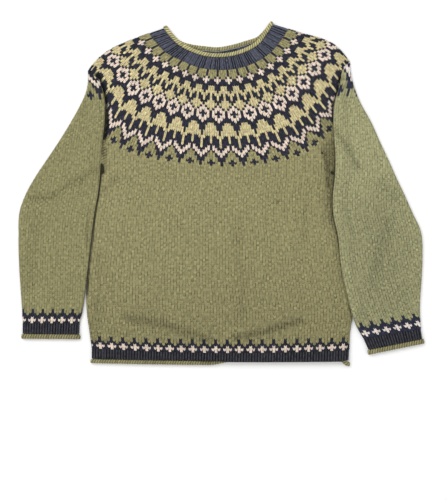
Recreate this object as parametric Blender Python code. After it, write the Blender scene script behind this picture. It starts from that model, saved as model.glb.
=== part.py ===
"""Hand-knitted jumper with a patterned round yoke, laid flat on a surface.

Lengths below are millimetres and become metres in the meshes. X runs to the
right sleeve of the picture, Y from hem to neck and Z up out of the surface;
the origin is under the middle of the garment. Every piece is knitted in the
round, so each one is a flattened tube: a front layer lying on a back layer.
"""
import math
from collections import namedtuple

import bmesh
import bpy
from mathutils import Vector

MM = 0.001
WALL = 3.0            # thickness of the knitted cloth
LAYER_GAP = 0.3       # between the front layer and the back layer
SEAM = 0.3            # between neighbouring pieces
SEAM_ROWS = 0.12      # the same on the yoke, in rows of its pattern
FOLD_RADIUS = WALL + LAYER_GAP / 2
FRONT_MID = 1.5 * WALL + LAYER_GAP
BACK_MID = 0.5 * WALL
RIB_DEPTH = 0.6       # purl valleys of the ribbing

ROLL_HALF_WIDTH = 4.5     # the curled edge, measured flat
ROLL_HALF_HEIGHT = 2.5    # the curled edge, measured up
ROLL_SIDES = 8
ROLL_BACK_MID = ROLL_HALF_HEIGHT
ROLL_FRONT_MID = 3 * ROLL_HALF_HEIGHT + LAYER_GAP

ROLL_INSET = 2.0      # its path stays this far inside the side folds

FOLD_STEPS = 4        # faces round a side fold of the cloth
ROLL_FOLD_STEPS = 6   # faces round the turned end of a curled edge
SHARP_ANGLE = 40      # degrees
WOOL_ROUGHNESS = 0.9

OLIVE = (0.27, 0.25, 0.13, 1.0)
PATTERN = (0.16, 0.16, 0.11, 1.0)
NAVY = (0.05, 0.05, 0.08, 1.0)

# One round of the yoke pattern per row number; wale places at five rows.
YOKE_ROWS = (0, 10, 21, 35, 45)
Wale = namedtuple("Wale", "repeat x0 y0 x10 y10 x21 y21 x35 y35 x45 y45 back_rise")
YOKE_WALES = (
    Wale(-8.85, -275, 220, -267, 248, -229, 284, -168, 312, -116, 330, 0),
    Wale(-8.00, -269, 192, -249, 240, -215, 264, -159, 300, -108, 318, 1),
    Wale(-6.00, -231, 122, -205, 162, -175, 210, -130, 268, -88, 297, 2),
    Wale(-4.00, -165, 82, -146, 128, -123, 184, -91, 248, -63, 283, 7),
    Wale(-2.00, -84, 64, -76, 110, -67, 166, -52, 232, -35, 274, 12),
    Wale(0.00, 1, 56, -2, 102, -6, 158, -8, 226, -6, 271, 13),
    Wale(2.00, 88, 61, 73, 107, 56, 161, 36, 228, 23, 274, 15),
    Wale(4.00, 171, 85, 146, 128, 115, 181, 78, 242, 51, 283, 14),
    Wale(6.00, 229, 140, 199, 177, 163, 222, 115, 267, 76, 298, 8),
    Wale(8.00, 261, 202, 240, 244, 204, 276, 144, 301, 94, 322, 2),
    Wale(9.10, 271, 232, 254, 256, 218, 298, 157, 322, 104, 338, 0),
)
CAP_ROW = 10          # the sleeve caps reach up to this row of the yoke
BAND_ROW = 40         # the neckband starts here
YOKE_TOP_ROW = 45     # and its curled edge here
# Where the chest part of the yoke goes under the sleeve caps: row, left, right.
Armhole = namedtuple("Armhole", "row left right")
ARMHOLES = (
    Armhole(0, -6.50, 6.05),
    Armhole(4, -6.95, 6.60),
    Armhole(7.5, -7.25, 7.25),
    Armhole(CAP_ROW, -7.75, 7.85),
)

# Flat spans of the tubes, from one side fold to the other, top to bottom.
Span = namedtuple("Span", "x_a y_a x_b y_b")
LEFT_SLEEVE = (
    Span(-267, 244.5, -248, 236),
    Span(-266, 228, -243, 224),
    Span(-270, 204, -236, 204),
    Span(-281, 178, -232, 178),
    Span(-301, 142, -233, 142),
    Span(-323, 106, -237, 106),
    Span(-347, 70, -240, 70),
    Span(-371, 34, -242, 34),
    Span(-391, -2, -246, -2),
    Span(-403, -38, -253, -38),
    Span(-405, -84, -259, -84),
    Span(-404, -136, -265, -136),
    Span(-401, -188, -271, -188),
    Span(-398, -230, -277, -230),
    Span(-397, -260, -283, -260),
)
LEFT_CUFF = Span(-397, -280, -284, -281)
RIGHT_SLEEVE = (
    Span(254, 248, 239, 241),
    Span(260, 230, 238, 228),
    Span(268, 204, 232, 204),
    Span(279, 178, 225, 178),
    Span(299, 142, 223, 142),
    Span(315, 106, 225, 106),
    Span(332, 70, 227, 70),
    Span(348, 34, 226, 34),
    Span(365, -2, 222, -4),
    Span(381, -38, 223, -42),
    Span(398, -76, 232, -84),
    Span(401, -120, 237, -134),
    Span(399, -172, 247, -188),
    Span(396, -216, 258, -234),
    Span(396, -240, 268, -262),
    Span(398, -269, 284, -290),
)
RIGHT_CUFF = Span(401, -289, 293, -311)
BODY = (
    Span(-237, 44, 235, 44),
    Span(-245.6, -4, 231, -4),
    Span(-254.2, -52, 234, -52),
    Span(-259.3, -92, 241, -92),
    Span(-264.5, -136, 246, -136),
    Span(-268.3, -172, 251, -172),
    Span(-270, -208, 258, -208),
    Span(-268, -242, 261, -242),
    Span(-263, -280, 256, -280),
    Span(-259, -313, 255, -315),
)
BODY_TOP_STEPS = 4    # rounds between the underarm and the yoke
HEM = Span(-259, -329, 254, -332)
HEM_SAG = 5           # the top of the hem ribbing dips this much in the middle
HEM_LOW_SAG = 2.5     # and its bottom this much
HEM_DROP = 2.5        # the front band covers its curled edge on the right
ROLL_TUCK = 4.5       # and the curled edge is tucked up behind it
ROLL_TIP = 3.0        # it peeps out at the right side fold
HEM_COVER_RISE = 7.4  # height that the front band gains over the tucked edge
BACK_PULL = 5.7       # the rear band is pulled up to make room for it
ROLL_CLEARANCE = 0.45  # between the band's lower edge and the curled edge
# Shares of the hem's width, from the left side fold.
Window = namedtuple("Window", "start start_run end end_run")
COVER = Window(0.38, 0.08, 1.0, 0.035)    # the front band is raised here
TUCK = Window(0.46, 0.08, 0.965, 0.05)    # and the curled edge tucked up here
TIP_FROM = 0.955                          # and it comes out again from here
# How the body's last rounds come up to the hem.
Approach = namedtuple("Approach", "sag_share right_rise left_rise")
HEM_APPROACH = (Approach(0.5, 1.5, 0.0), Approach(1.0, 4.5, 1.0))

# Raised folds of the front layer: from, to, half width and height.
Ridge = namedtuple("Ridge", "x0 y0 x1 y1 half_width height")
RIDGES = (
    Ridge(-40, -190, -20, 20, 150, 1.2),
    Ridge(-163, -236, -43, -286, 15, 2.6),
    Ridge(13, -292, 157, -232, 15, 2.8),
    Ridge(145, 18, 143, -132, 9, 1.4),
    Ridge(-212, 92, -186, 40, 9, 1.6),
    Ridge(196, 96, 206, 30, 8, 1.6),
    Ridge(-262, 40, -315, 0, 11, 2.0),
    Ridge(252, 100, 268, 40, 10, 1.8),
    Ridge(-300, -60, -345, -150, 22, 1.8),
    Ridge(290, -70, 350, -170, 24, 1.8),
)

# How far a sleeve's inner edge lies up on the body: heights along Y.
Lift = namedtuple("Lift", "top full_top full_bottom bottom")
LIFT_HEIGHT = 7.2
LIFT_FLAT = 10        # fully lifted this far from the inner edge
LIFT_RUN = 38         # and down on the surface this far from it
LEFT_LIFT = Lift(236, 218, 98, 56)
RIGHT_LIFT = Lift(240, 222, -240, -272)
NARROW_SLEEVE = 60    # spans under this width are lifted over less of it
UNDERARM_Y = 48
# Places on the under side of a sleeve cap, from its inner edge.
ARMHOLE_FROM = 13
ARMHOLE_TO = 17


def smoothstep(value):
    """Ease a value from 0 to 1 between 0 and 1."""
    t = min(max(value, 0.0), 1.0)
    return t * t * (3 - 2 * t)


def relief(x, y):
    """Height of the front layer's soft folds at a place."""
    height = 0.0
    for ridge in RIDGES:
        start = Vector((ridge.x0, ridge.y0))
        run = Vector((ridge.x1, ridge.y1)) - start
        along = (Vector((x, y)) - start).dot(run) / run.length_squared
        nearest = start + run * min(max(along, 0.0), 1.0)
        distance = (Vector((x, y)) - nearest).length / ridge.half_width
        height += ridge.height * math.exp(-distance * distance)
    return height


def hermite(knots, values, at):
    """Smooth curve through values at the knots, with even tangents."""
    last = len(knots) - 1
    k = 0
    while k < last - 1 and at > knots[k + 1]:
        k += 1
    slopes = []
    for i in (k, k + 1):
        low, high = max(i - 1, 0), min(i + 1, last)
        slopes.append((values[high] - values[low]) / (knots[high] - knots[low]))
    step = knots[k + 1] - knots[k]
    t = (at - knots[k]) / step
    if t < 0:
        return values[0] + slopes[0] * (at - knots[0])
    if t > 1:
        return values[last] + slopes[1] * (at - knots[last])
    rise = values[k + 1] - values[k]
    a = slopes[0] * step - rise
    b = rise - slopes[1] * step
    return values[k] + t * rise + t * (1 - t) * (a * (1 - t) + b * t)


def yoke_point(repeat, row, back=False):
    """Place of a pattern repeat and row on the yoke, seen from above."""
    repeats = [wale.repeat for wale in YOKE_WALES]
    columns = []
    for field in range(1, 11):
        columns.append(hermite(repeats, [wale[field] for wale in YOKE_WALES], repeat))
    x = hermite(YOKE_ROWS, columns[0::2], row)
    y = hermite(YOKE_ROWS, columns[1::2], row)
    if back:
        rise = hermite(repeats, [wale.back_rise for wale in YOKE_WALES], repeat)
        y += rise * smoothstep(row / YOKE_TOP_ROW)
    return Vector((x, y))


def armhole_repeats(row):
    """Pattern repeats at the two armhole edges of a yoke row."""
    rows = [edge.row for edge in ARMHOLES]
    left = hermite(rows, [edge.left for edge in ARMHOLES], min(row, CAP_ROW))
    right = hermite(rows, [edge.right for edge in ARMHOLES], min(row, CAP_ROW))
    return left, right


def spread(start, end, steps):
    """Even values from start to end."""
    return [start + (end - start) * k / steps for k in range(steps + 1)]


def inset_ends(points, radius):
    """Move the two ends of a path inwards, to the middles of its side folds."""
    moved = [point.copy() for point in points]
    moved[0] += (points[1] - points[0]).normalized() * radius
    moved[-1] += (points[-2] - points[-1]).normalized() * radius
    return moved


def fold_points(middle, outward, low, high, offset, steps):
    """Points round a side fold, from its top to its bottom, ends left out."""
    radius = (high - low) / 2 + offset
    points = []
    for k in range(1, steps):
        angle = math.pi * (0.5 - k / steps)
        plan = middle + outward * radius * math.cos(angle)
        points.append(Vector((plan.x, plan.y, (high + low) / 2 + radius * math.sin(angle))))
    return points


def ring_side(front, back, front_z, back_z, offset, steps, ribs):
    """The outer (offset > 0) or inner surface of one round of cloth."""
    points = []
    valley = RIB_DEPTH if ribs else 0.0
    for k, (plan, z) in enumerate(zip(front, front_z)):
        points.append(Vector((plan.x, plan.y, z + offset - valley * (k % 2))))
    outward = (front[-1] - front[-2]).normalized()
    points += fold_points(front[-1], outward, back_z[-1], front_z[-1], offset, steps)
    for k, (plan, z) in enumerate(reversed(list(zip(back, back_z)))):
        points.append(Vector((plan.x, plan.y, z - offset + valley * (k % 2))))
    outward = (front[0] - front[1]).normalized()
    points += reversed(fold_points(front[0], outward, back_z[0], front_z[0], offset, steps))
    return points


def cloth_round(front, back, front_z, back_z, steps=FOLD_STEPS, ribs=False):
    """Outer and inner points of one round, from two flat paths and wall heights."""
    outer = ring_side(front, back, front_z, back_z, WALL / 2, steps, ribs)
    inner = ring_side(front, back, front_z, back_z, -WALL / 2, steps, False)
    return outer, inner


class WallBuilder:
    """Makes one closed wall from rounds of outer and inner points."""

    def __init__(self, rounds, missing):
        self.rounds = rounds
        self.missing = missing
        self.count = len(rounds[0][0])
        self.mesh = bmesh.new()
        self.corners = {}

    def present(self, i, j):
        """Whether the cell between rounds i and i + 1 is cloth."""
        inside = 0 <= i < len(self.rounds) - 1
        return inside and (i, j % self.count) not in self.missing

    def corner(self, i, j, side):
        """The shared vertex of a round, outer for side 0 and inner for side 1."""
        key = (i, j % self.count, side)
        if key not in self.corners:
            place = self.rounds[i][side][key[1]] * MM
            self.corners[key] = self.mesh.verts.new(place)
        return self.corners[key]

    def cell(self, i, j):
        """Outer and inner faces of a cell, and its edges where cloth ends."""
        loop = ((i, j), (i, j + 1), (i + 1, j + 1), (i + 1, j))
        beyond = ((i - 1, j), (i, j + 1), (i + 1, j), (i, j - 1))
        for side in (0, 1):
            self.mesh.faces.new([self.corner(a, b, side) for a, b in loop])
        for k, neighbour in enumerate(beyond):
            if not self.present(*neighbour):
                a, b = loop[k], loop[(k + 1) % 4]
                quad = (a + (0,), b + (0,), b + (1,), a + (1,))
                self.mesh.faces.new([self.corner(*key) for key in quad])

    def build(self):
        """All cells as one closed mesh with its faces pointing out."""
        for i in range(len(self.rounds) - 1):
            for j in range(self.count):
                if self.present(i, j):
                    self.cell(i, j)
        bmesh.ops.triangulate(self.mesh, faces=self.mesh.faces[:])
        bmesh.ops.recalc_face_normals(self.mesh, faces=self.mesh.faces[:])
        return self.mesh


def make_material(name, color, roughness):
    """A matt wool finish."""
    material = bpy.data.materials.new(name)
    material.use_nodes = True
    shader = material.node_tree.nodes["Principled BSDF"]
    shader.inputs["Base Color"].default_value = color
    shader.inputs["Roughness"].default_value = roughness
    shader.inputs["Metallic"].default_value = 0.0
    return material


def add_object(name, mesh_builder, color):
    """Turn a bmesh into a smooth-shaded named object with its own finish."""
    mesh = bpy.data.meshes.new(name)
    mesh_builder.to_mesh(mesh)
    mesh_builder.free()
    mesh.shade_smooth()
    mesh.set_sharp_from_angle(angle=math.radians(SHARP_ANGLE))
    mesh.materials.append(make_material(name + "_wool", color, WOOL_ROUGHNESS))
    thing = bpy.data.objects.new(name, mesh)
    bpy.context.scene.collection.objects.link(thing)
    return thing


def add_wall(name, rounds, color, missing=()):
    """A piece of cloth from its rounds."""
    return add_object(name, WallBuilder(rounds, set(missing)).build(), color)


# ---------------------------------------------------------------- the yoke

YOKE_CAP_CELLS = 3
YOKE_CHEST_CELLS = 24
YOKE_BACK_CELLS = 18
YOKE_ROUNDS = (0, 2.5, 5, 7.5, 10, 13, 17, 21, 26, 31, 35.5, BAND_ROW)


def yoke_repeats(row, middle_cells):
    """Repeats of a round's points: left cap, chest or back, right cap."""
    left, right = armhole_repeats(row)
    first, last = YOKE_WALES[0].repeat, YOKE_WALES[-1].repeat
    repeats = spread(first, left, YOKE_CAP_CELLS)[:-1]
    repeats += spread(left, right, middle_cells)[:-1]
    return repeats + spread(right, last, YOKE_CAP_CELLS)


def yoke_round(row):
    """One round of the yoke."""
    front = [yoke_point(at, row) for at in yoke_repeats(row, YOKE_CHEST_CELLS)]
    back = [yoke_point(at, row, True) for at in yoke_repeats(row, YOKE_BACK_CELLS)]
    front, back = inset_ends(front, FOLD_RADIUS), inset_ends(back, FOLD_RADIUS)
    back[0], back[-1] = front[0], front[-1]
    front_z = [FRONT_MID + relief(plan.x, plan.y) for plan in front]
    front_z[0] = front_z[-1] = FRONT_MID
    return cloth_round(front, back, front_z, [BACK_MID] * len(back))


def yoke_missing():
    """Cells left out under the sleeve caps, where the armholes are."""
    left_front = range(YOKE_CAP_CELLS)
    chest_end = YOKE_CAP_CELLS + YOKE_CHEST_CELLS
    right_side = range(chest_end, chest_end + 2 * YOKE_CAP_CELLS + FOLD_STEPS)
    back_end = right_side[-1] + 1 + YOKE_BACK_CELLS
    left_side = range(back_end, back_end + YOKE_CAP_CELLS + FOLD_STEPS)
    rounds = range(YOKE_ROUNDS.index(CAP_ROW))
    cells = list(left_front) + list(right_side) + list(left_side)
    return [(i, j) for i in rounds for j in cells]


def build_yoke():
    """The round yoke, in one piece from the body to the neckband."""
    return add_wall("yoke", [yoke_round(row) for row in YOKE_ROUNDS], PATTERN, yoke_missing())


# ---------------------------------------------------------------- the body

BODY_FRONT_CELLS = 24
BODY_BACK_CELLS = 18


def span_path(span, cells, radius, sag=0.0):
    """Even places along a flat span, ends set in by the fold's radius."""
    start, end = Vector((span.x_a, span.y_a)), Vector((span.x_b, span.y_b))
    inset = radius / (end - start).length
    path = []
    for u in spread(inset, 1 - inset, cells):
        place = start.lerp(end, u)
        place.y -= sag * 4 * (u - inset) * (1 - inset - u)
        path.append(place)
    return path


def within(window, u):
    """1 inside a window of the hem's width, eased to 0 at its ends."""
    inside = smoothstep((u - window.start) / window.start_run)
    return inside * smoothstep((window.end - u) / window.end_run)


def hem_rise(u, right_rise, left_rise):
    """Height that the front hem gains over the curled edges beneath it."""
    return left_rise + (right_rise - left_rise) * within(COVER, u)


def body_round(span, sag=0.0, right_rise=0.0, left_rise=0.0):
    """One round of the body below the underarms."""
    front = span_path(span, BODY_FRONT_CELLS, FOLD_RADIUS, sag)
    back = span_path(span, BODY_BACK_CELLS, FOLD_RADIUS, sag)
    front_z = []
    for k, plan in enumerate(front):
        rise = hem_rise(k / BODY_FRONT_CELLS, right_rise, left_rise)
        front_z.append(FRONT_MID + rise + relief(plan.x, plan.y))
    front_z[0] = front_z[-1] = FRONT_MID + left_rise
    return cloth_round(front, back, front_z, [BACK_MID] * len(back))


def chest_round(fraction):
    """A round between the underarm (0) and the yoke's lowest row (1)."""
    left, right = armhole_repeats(0)
    rows = []
    for cells, back in ((BODY_FRONT_CELLS, False), (BODY_BACK_CELLS, True)):
        low = span_path(BODY[0], cells, FOLD_RADIUS)
        high = [yoke_point(at, -SEAM_ROWS, back) for at in spread(left, right, cells)]
        rows.append([a.lerp(b, fraction) for a, b in zip(low, high)])
    front, back = rows
    front_z = [FRONT_MID + relief(plan.x, plan.y) for plan in front]
    front_z[0] = front_z[-1] = FRONT_MID
    return cloth_round(front, back, front_z, [BACK_MID] * len(back))


def body_missing():
    """The side folds above the underarms are open: the armholes."""
    right = range(BODY_FRONT_CELLS, BODY_FRONT_CELLS + FOLD_STEPS)
    left_start = BODY_FRONT_CELLS + BODY_BACK_CELLS + FOLD_STEPS
    left = range(left_start, left_start + FOLD_STEPS)
    return [(i, j) for i in range(BODY_TOP_STEPS) for j in list(right) + list(left)]


def build_body():
    """The body tube from the yoke down to the ribbed hem."""
    rounds = [chest_round(1 - k / BODY_TOP_STEPS) for k in range(BODY_TOP_STEPS)]
    rounds += [body_round(span) for span in BODY[:-len(HEM_APPROACH)]]
    for span, step in zip(BODY[-len(HEM_APPROACH):], HEM_APPROACH):
        rounds.append(body_round(span, HEM_SAG * step.sag_share, step.right_rise, step.left_rise))
    return add_wall("body", rounds, OLIVE, body_missing())


# --------------------------------------------------------------- the sleeves

SLEEVE_FRONT_CELLS = 8
SLEEVE_BACK_CELLS = 5     # under side, outside the armhole


def lift_at(y, lift):
    """Height of a sleeve's inner edge on the body at a place along it."""
    upper = smoothstep((lift.top - y) / (lift.top - lift.full_top))
    lower = smoothstep((y - lift.bottom) / (lift.full_bottom - lift.bottom))
    return LIFT_HEIGHT * upper * lower


def sleeve_heights(path, span, lift, base, folds):
    """Wall heights across a sleeve, lifted towards its inner edge."""
    inner = Vector((span.x_b, span.y_b))
    width = (inner - Vector((span.x_a, span.y_a))).length
    narrow = min(1.0, width / NARROW_SLEEVE)
    heights = []
    for plan in path:
        distance = (plan - inner).length
        fade = 1 - smoothstep((distance - LIFT_FLAT * narrow) / ((LIFT_RUN - LIFT_FLAT) * narrow))
        swell = relief(plan.x, plan.y) * folds * math.sin(math.pi * min(distance / width, 1.0))
        heights.append(base + lift_at(plan.y, lift) * fade + swell)
    return heights


def under_path(span, radius):
    """The under side of a sleeve, with places at both edges of the armhole."""
    outer, inner = Vector((span.x_a, span.y_a)), Vector((span.x_b, span.y_b))
    width = (inner - outer).length
    narrow = min(1.0, width / NARROW_SLEEVE)
    places = spread(radius, width - ARMHOLE_TO * narrow, SLEEVE_BACK_CELLS)
    places += [width - ARMHOLE_FROM * narrow, width - radius]
    return [outer.lerp(inner, place / width) for place in places]


def sleeve_round(span, lift):
    """One round of a sleeve; its inner edge is end b of the span."""
    front = span_path(span, SLEEVE_FRONT_CELLS, FOLD_RADIUS)
    back = under_path(span, FOLD_RADIUS)
    front_z = sleeve_heights(front, span, lift, FRONT_MID, 1.0)
    back_z = sleeve_heights(back, span, lift, BACK_MID, 0.0)
    front_z[0] = back_z[0] + WALL + LAYER_GAP
    front_z[-1] = back_z[-1] + WALL + LAYER_GAP
    return cloth_round(front, back, front_z, back_z)


def sleeve_missing(spans):
    """The armhole slot in the under side of a sleeve cap."""
    slot = SLEEVE_FRONT_CELLS + FOLD_STEPS + 1
    last = [k for k, span in enumerate(spans) if span.y_b > UNDERARM_Y][-1]
    return [(i, slot) for i in range(last)]


def build_sleeve(name, spans, lift):
    """A sleeve tube with its cap, down to the ribbed cuff."""
    rounds = [sleeve_round(span, lift) for span in spans]
    return add_wall(name, rounds, OLIVE, sleeve_missing(spans))


# ------------------------------------------------- ribbed bands, curled edges

HEM_CELLS = 90        # one cell for each stitch of the ribbing, a layer
CUFF_CELLS = 21
NECK_CELLS = 52
HEM_ROLL_CELLS = 45
CUFF_ROLL_CELLS = 8
NECK_ROLL_CELLS = 26
BAND_ROUNDS = 2       # faces from the top of a band to its bottom
BAND_SEAM_ROWS = 0.15  # between the yoke and the neckband
NECK_RISE = 1.0       # the front neck edge, above the front layer
STACKED_APART = 12    # front and back neck edges nearer than this are stacked
STACKED_RUN = 5
BAND_FOLD_STEPS = 2


def lowered(span, amount):
    """A span moved down towards the hem."""
    return Span(span.x_a, span.y_a - amount, span.x_b, span.y_b - amount)


def between(high, low, fraction):
    """A span part of the way from one span to another."""
    return Span(*[a + (b - a) * fraction for a, b in zip(high, low)])


def hem_round(fraction):
    """One round of the hem ribbing, from the body (0) to the curled edge (1)."""
    span = between(lowered(BODY[-1], SEAM), HEM, fraction)
    start = HEM_APPROACH[-1]
    sag = HEM_SAG + (HEM_LOW_SAG - HEM_SAG) * fraction
    left_gain = ROLL_FRONT_MID - FRONT_MID - start.left_rise
    left_rise = start.left_rise + left_gain * fraction
    right_rise = start.right_rise + (HEM_COVER_RISE - start.right_rise) * min(fraction * 2, 1.0)
    back_mid = BACK_MID + (ROLL_BACK_MID - BACK_MID) * fraction
    front = span_path(span, HEM_CELLS, FOLD_RADIUS, sag)
    back = span_path(span, HEM_CELLS, FOLD_RADIUS, sag)
    front_z = []
    for k, plan in enumerate(front):
        u = k / HEM_CELLS
        plan.y -= HEM_DROP * within(TUCK, u) * fraction
        back[k].y += BACK_PULL * math.sqrt(within(TUCK, u)) * fraction
        front_z.append(FRONT_MID + hem_rise(u, right_rise, left_rise) + relief(plan.x, plan.y))
    front_z[0] = front_z[-1] = FRONT_MID + left_rise
    back_z = [back_mid] * len(back)
    return cloth_round(front, back, front_z, back_z, BAND_FOLD_STEPS, True)


def build_hem_band():
    """The ribbed band at the hem."""
    return add_wall("hem_band", [hem_round(at) for at in spread(0, 1, BAND_ROUNDS)], NAVY)


def cuff_round(top, bottom, fraction):
    """One round of cuff ribbing."""
    span = between(top, bottom, fraction)
    front = span_path(span, CUFF_CELLS, FOLD_RADIUS)
    front_mid = FRONT_MID + (ROLL_FRONT_MID - FRONT_MID) * fraction
    back_mid = BACK_MID + (ROLL_BACK_MID - BACK_MID) * fraction
    count = len(front)
    return cloth_round(front, front, [front_mid] * count, [back_mid] * count,
                       BAND_FOLD_STEPS, True)


def build_cuff_band(name, sleeve, bottom):
    """The ribbed band at a cuff."""
    top = lowered(sleeve[-1], SEAM)
    rounds = [cuff_round(top, bottom, at) for at in spread(0, 1, BAND_ROUNDS)]
    return add_wall(name, rounds, NAVY)


def neck_front_mid(front, back):
    """Height of the front neck edge: higher where it lies on the back one."""
    apart = (front - back).length
    stacked = smoothstep((STACKED_APART - apart) / STACKED_RUN)
    return FRONT_MID + NECK_RISE + (ROLL_FRONT_MID - FRONT_MID - NECK_RISE) * stacked


def neck_round(row, fraction):
    """One round of the neckband."""
    repeats = spread(YOKE_WALES[0].repeat, YOKE_WALES[-1].repeat, NECK_CELLS)
    front = inset_ends([yoke_point(at, row) for at in repeats], FOLD_RADIUS)
    back = inset_ends([yoke_point(at, row, True) for at in repeats], FOLD_RADIUS)
    back[0], back[-1] = front[0], front[-1]
    front_z = []
    for near, far in zip(front, back):
        front_z.append(FRONT_MID + (neck_front_mid(near, far) - FRONT_MID) * fraction)
    back_z = [BACK_MID] * len(back)
    return cloth_round(front, back, front_z, back_z, BAND_FOLD_STEPS, True)


def build_neck_band():
    """The ribbed neckband."""
    rows = spread(BAND_ROW + BAND_SEAM_ROWS, YOKE_TOP_ROW, BAND_ROUNDS)
    rounds = [neck_round(row, at) for row, at in zip(rows, spread(0, 1, BAND_ROUNDS))]
    return add_wall("neck_band", rounds, NAVY)


def roll_turn(place, outward, low, high):
    """Path points round the turned end of a curled edge, top to bottom."""
    points = []
    for k in range(1, ROLL_FOLD_STEPS):
        angle = math.pi * (0.5 - k / ROLL_FOLD_STEPS)
        radius = (high - low) / 2
        plan = place + outward * radius * math.cos(angle)
        points.append(Vector((plan.x, plan.y, (high + low) / 2 + radius * math.sin(angle))))
    return points


def plan_sides(path, flip):
    """Flat vectors square to a path, one for each of its points."""
    sides = []
    for k in range(len(path)):
        ahead = path[min(k + 1, len(path) - 1)] - path[max(k - 1, 0)]
        side = Vector((-ahead.y, ahead.x, 0)).normalized()
        sides.append(side * flip)
    return sides


def roll_path(front, back, front_z, back_z):
    """Closed centre line of a curled edge and its flat side vectors."""
    points = [Vector((p.x, p.y, z)) for p, z in zip(front, front_z)]
    sides = plan_sides(points, 1)
    outward = (front[-1] - front[-2]).normalized()
    turn = roll_turn(front[-1], outward, back_z[-1], front_z[-1])
    sides += [sides[-1]] * len(turn)
    points += turn
    under = [Vector((p.x, p.y, z)) for p, z in zip(back, back_z)]
    under.reverse()
    sides += plan_sides(under, -1)
    points += under
    outward = (front[0] - front[1]).normalized()
    turn = roll_turn(front[0], outward, back_z[0], front_z[0])
    turn.reverse()
    sides += [sides[0]] * len(turn)
    return points + turn, sides


def add_roll(name, path, sides, color):
    """A curled edge: an oval tube round a closed centre line."""
    mesh = bmesh.new()
    count = len(path)
    flats = math.cos(math.pi / ROLL_SIDES)
    rings = []
    for k, place in enumerate(path):
        ahead = (path[(k + 1) % count] - path[k - 1]).normalized()
        side = (sides[k] - ahead * sides[k].dot(ahead)).normalized()
        up = ahead.cross(side)
        ring = []
        for n in range(ROLL_SIDES):
            angle = 2 * math.pi * (n + 0.5) / ROLL_SIDES
            across = side * ROLL_HALF_WIDTH * math.cos(angle) / flats
            rise = up * ROLL_HALF_HEIGHT * math.sin(angle) / flats
            ring.append(mesh.verts.new((place + across + rise) * MM))
        rings.append(ring)
    for k, ring in enumerate(rings):
        following = rings[(k + 1) % count]
        for n in range(ROLL_SIDES):
            m = (n + 1) % ROLL_SIDES
            mesh.faces.new((ring[n], ring[m], following[m], following[n]))
    bmesh.ops.triangulate(mesh, faces=mesh.faces[:])
    bmesh.ops.recalc_face_normals(mesh, faces=mesh.faces[:])
    return add_object(name, mesh, color)


def below(span, distance):
    """A span moved square to itself, towards the hem."""
    run = Vector((span.x_b - span.x_a, span.y_b - span.y_a)).normalized()
    down = Vector((-run.y, run.x)) * distance
    if down.y > 0:
        down = -down
    return Span(span.x_a + down.x, span.y_a + down.y, span.x_b + down.x, span.y_b + down.y)


def build_cuff_roll(name, cuff):
    """The curled edge of a cuff."""
    path = span_path(below(cuff, ROLL_HALF_WIDTH + SEAM), CUFF_ROLL_CELLS, ROLL_INSET)
    count = len(path)
    points, sides = roll_path(path, path, [ROLL_FRONT_MID] * count, [ROLL_BACK_MID] * count)
    return add_roll(name, points, sides, OLIVE)


def build_hem_roll():
    """The curled edge of the hem, tucked up behind the band on the right."""
    span = lowered(HEM, ROLL_HALF_WIDTH + ROLL_CLEARANCE)
    path = span_path(span, HEM_ROLL_CELLS, ROLL_INSET, HEM_LOW_SAG)
    for k, plan in enumerate(path):
        u = k / HEM_ROLL_CELLS
        plan.y += ROLL_TUCK * within(TUCK, u)
        plan.y -= ROLL_TIP * smoothstep((u - TIP_FROM) / (1 - TIP_FROM))
    count = len(path)
    points, sides = roll_path(path, path, [ROLL_FRONT_MID] * count, [ROLL_BACK_MID] * count)
    return add_roll("hem_roll", points, sides, OLIVE)


def neck_roll_path(back):
    """Path of the neck's curled edge, square above the neckband's edge."""
    repeats = spread(YOKE_WALES[0].repeat, YOKE_WALES[-1].repeat, NECK_ROLL_CELLS)
    edge = [yoke_point(at, YOKE_TOP_ROW, back) for at in repeats]
    path = []
    for k, place in enumerate(edge):
        ahead = edge[min(k + 1, NECK_ROLL_CELLS)] - edge[max(k - 1, 0)]
        above = Vector((-ahead.y, ahead.x)).normalized()
        path.append(place + above * (ROLL_HALF_WIDTH + SEAM))
    return inset_ends(path, ROLL_INSET)


def build_neck_roll():
    """The curled edge of the neck; its back part lies above the front part."""
    front, back = neck_roll_path(False), neck_roll_path(True)
    back[0], back[-1] = front[0], front[-1]
    front_z = [neck_front_mid(near, far) for near, far in zip(front, back)]
    points, sides = roll_path(front, back, front_z, [ROLL_BACK_MID] * len(back))
    return add_roll("neck_roll", points, sides, OLIVE)


def clear_scene():
    """Start from an empty scene."""
    for thing in list(bpy.data.objects):
        bpy.data.objects.remove(thing)


def main():
    """Build the jumper from the neck down."""
    clear_scene()
    build_neck_roll()
    build_neck_band()
    build_yoke()
    build_body()
    build_hem_band()
    build_hem_roll()
    for side, sleeve, lift, cuff in (
        ("left", LEFT_SLEEVE, LEFT_LIFT, LEFT_CUFF),
        ("right", RIGHT_SLEEVE, RIGHT_LIFT, RIGHT_CUFF),
    ):
        build_sleeve("sleeve_" + side, sleeve, lift)
        build_cuff_band("cuff_band_" + side, sleeve, cuff)
        build_cuff_roll("cuff_roll_" + side, cuff)


main()
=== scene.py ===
"""Looks of a hand-knitted jumper with a patterned round yoke, lying flat.

Every knitted piece is a grid of stitches laid over its solid: each stitch is
a small raised V of yarn with its own colour. Lengths are millimetres unless a
name says otherwise, and become metres when a mesh is made. X runs to the
right sleeve of the picture, Y from hem to neck and Z up out of the surface.
"""
import logging
import math
from collections import namedtuple
from dataclasses import dataclass, field
from enum import Enum
from typing import Callable, Sequence

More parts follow.
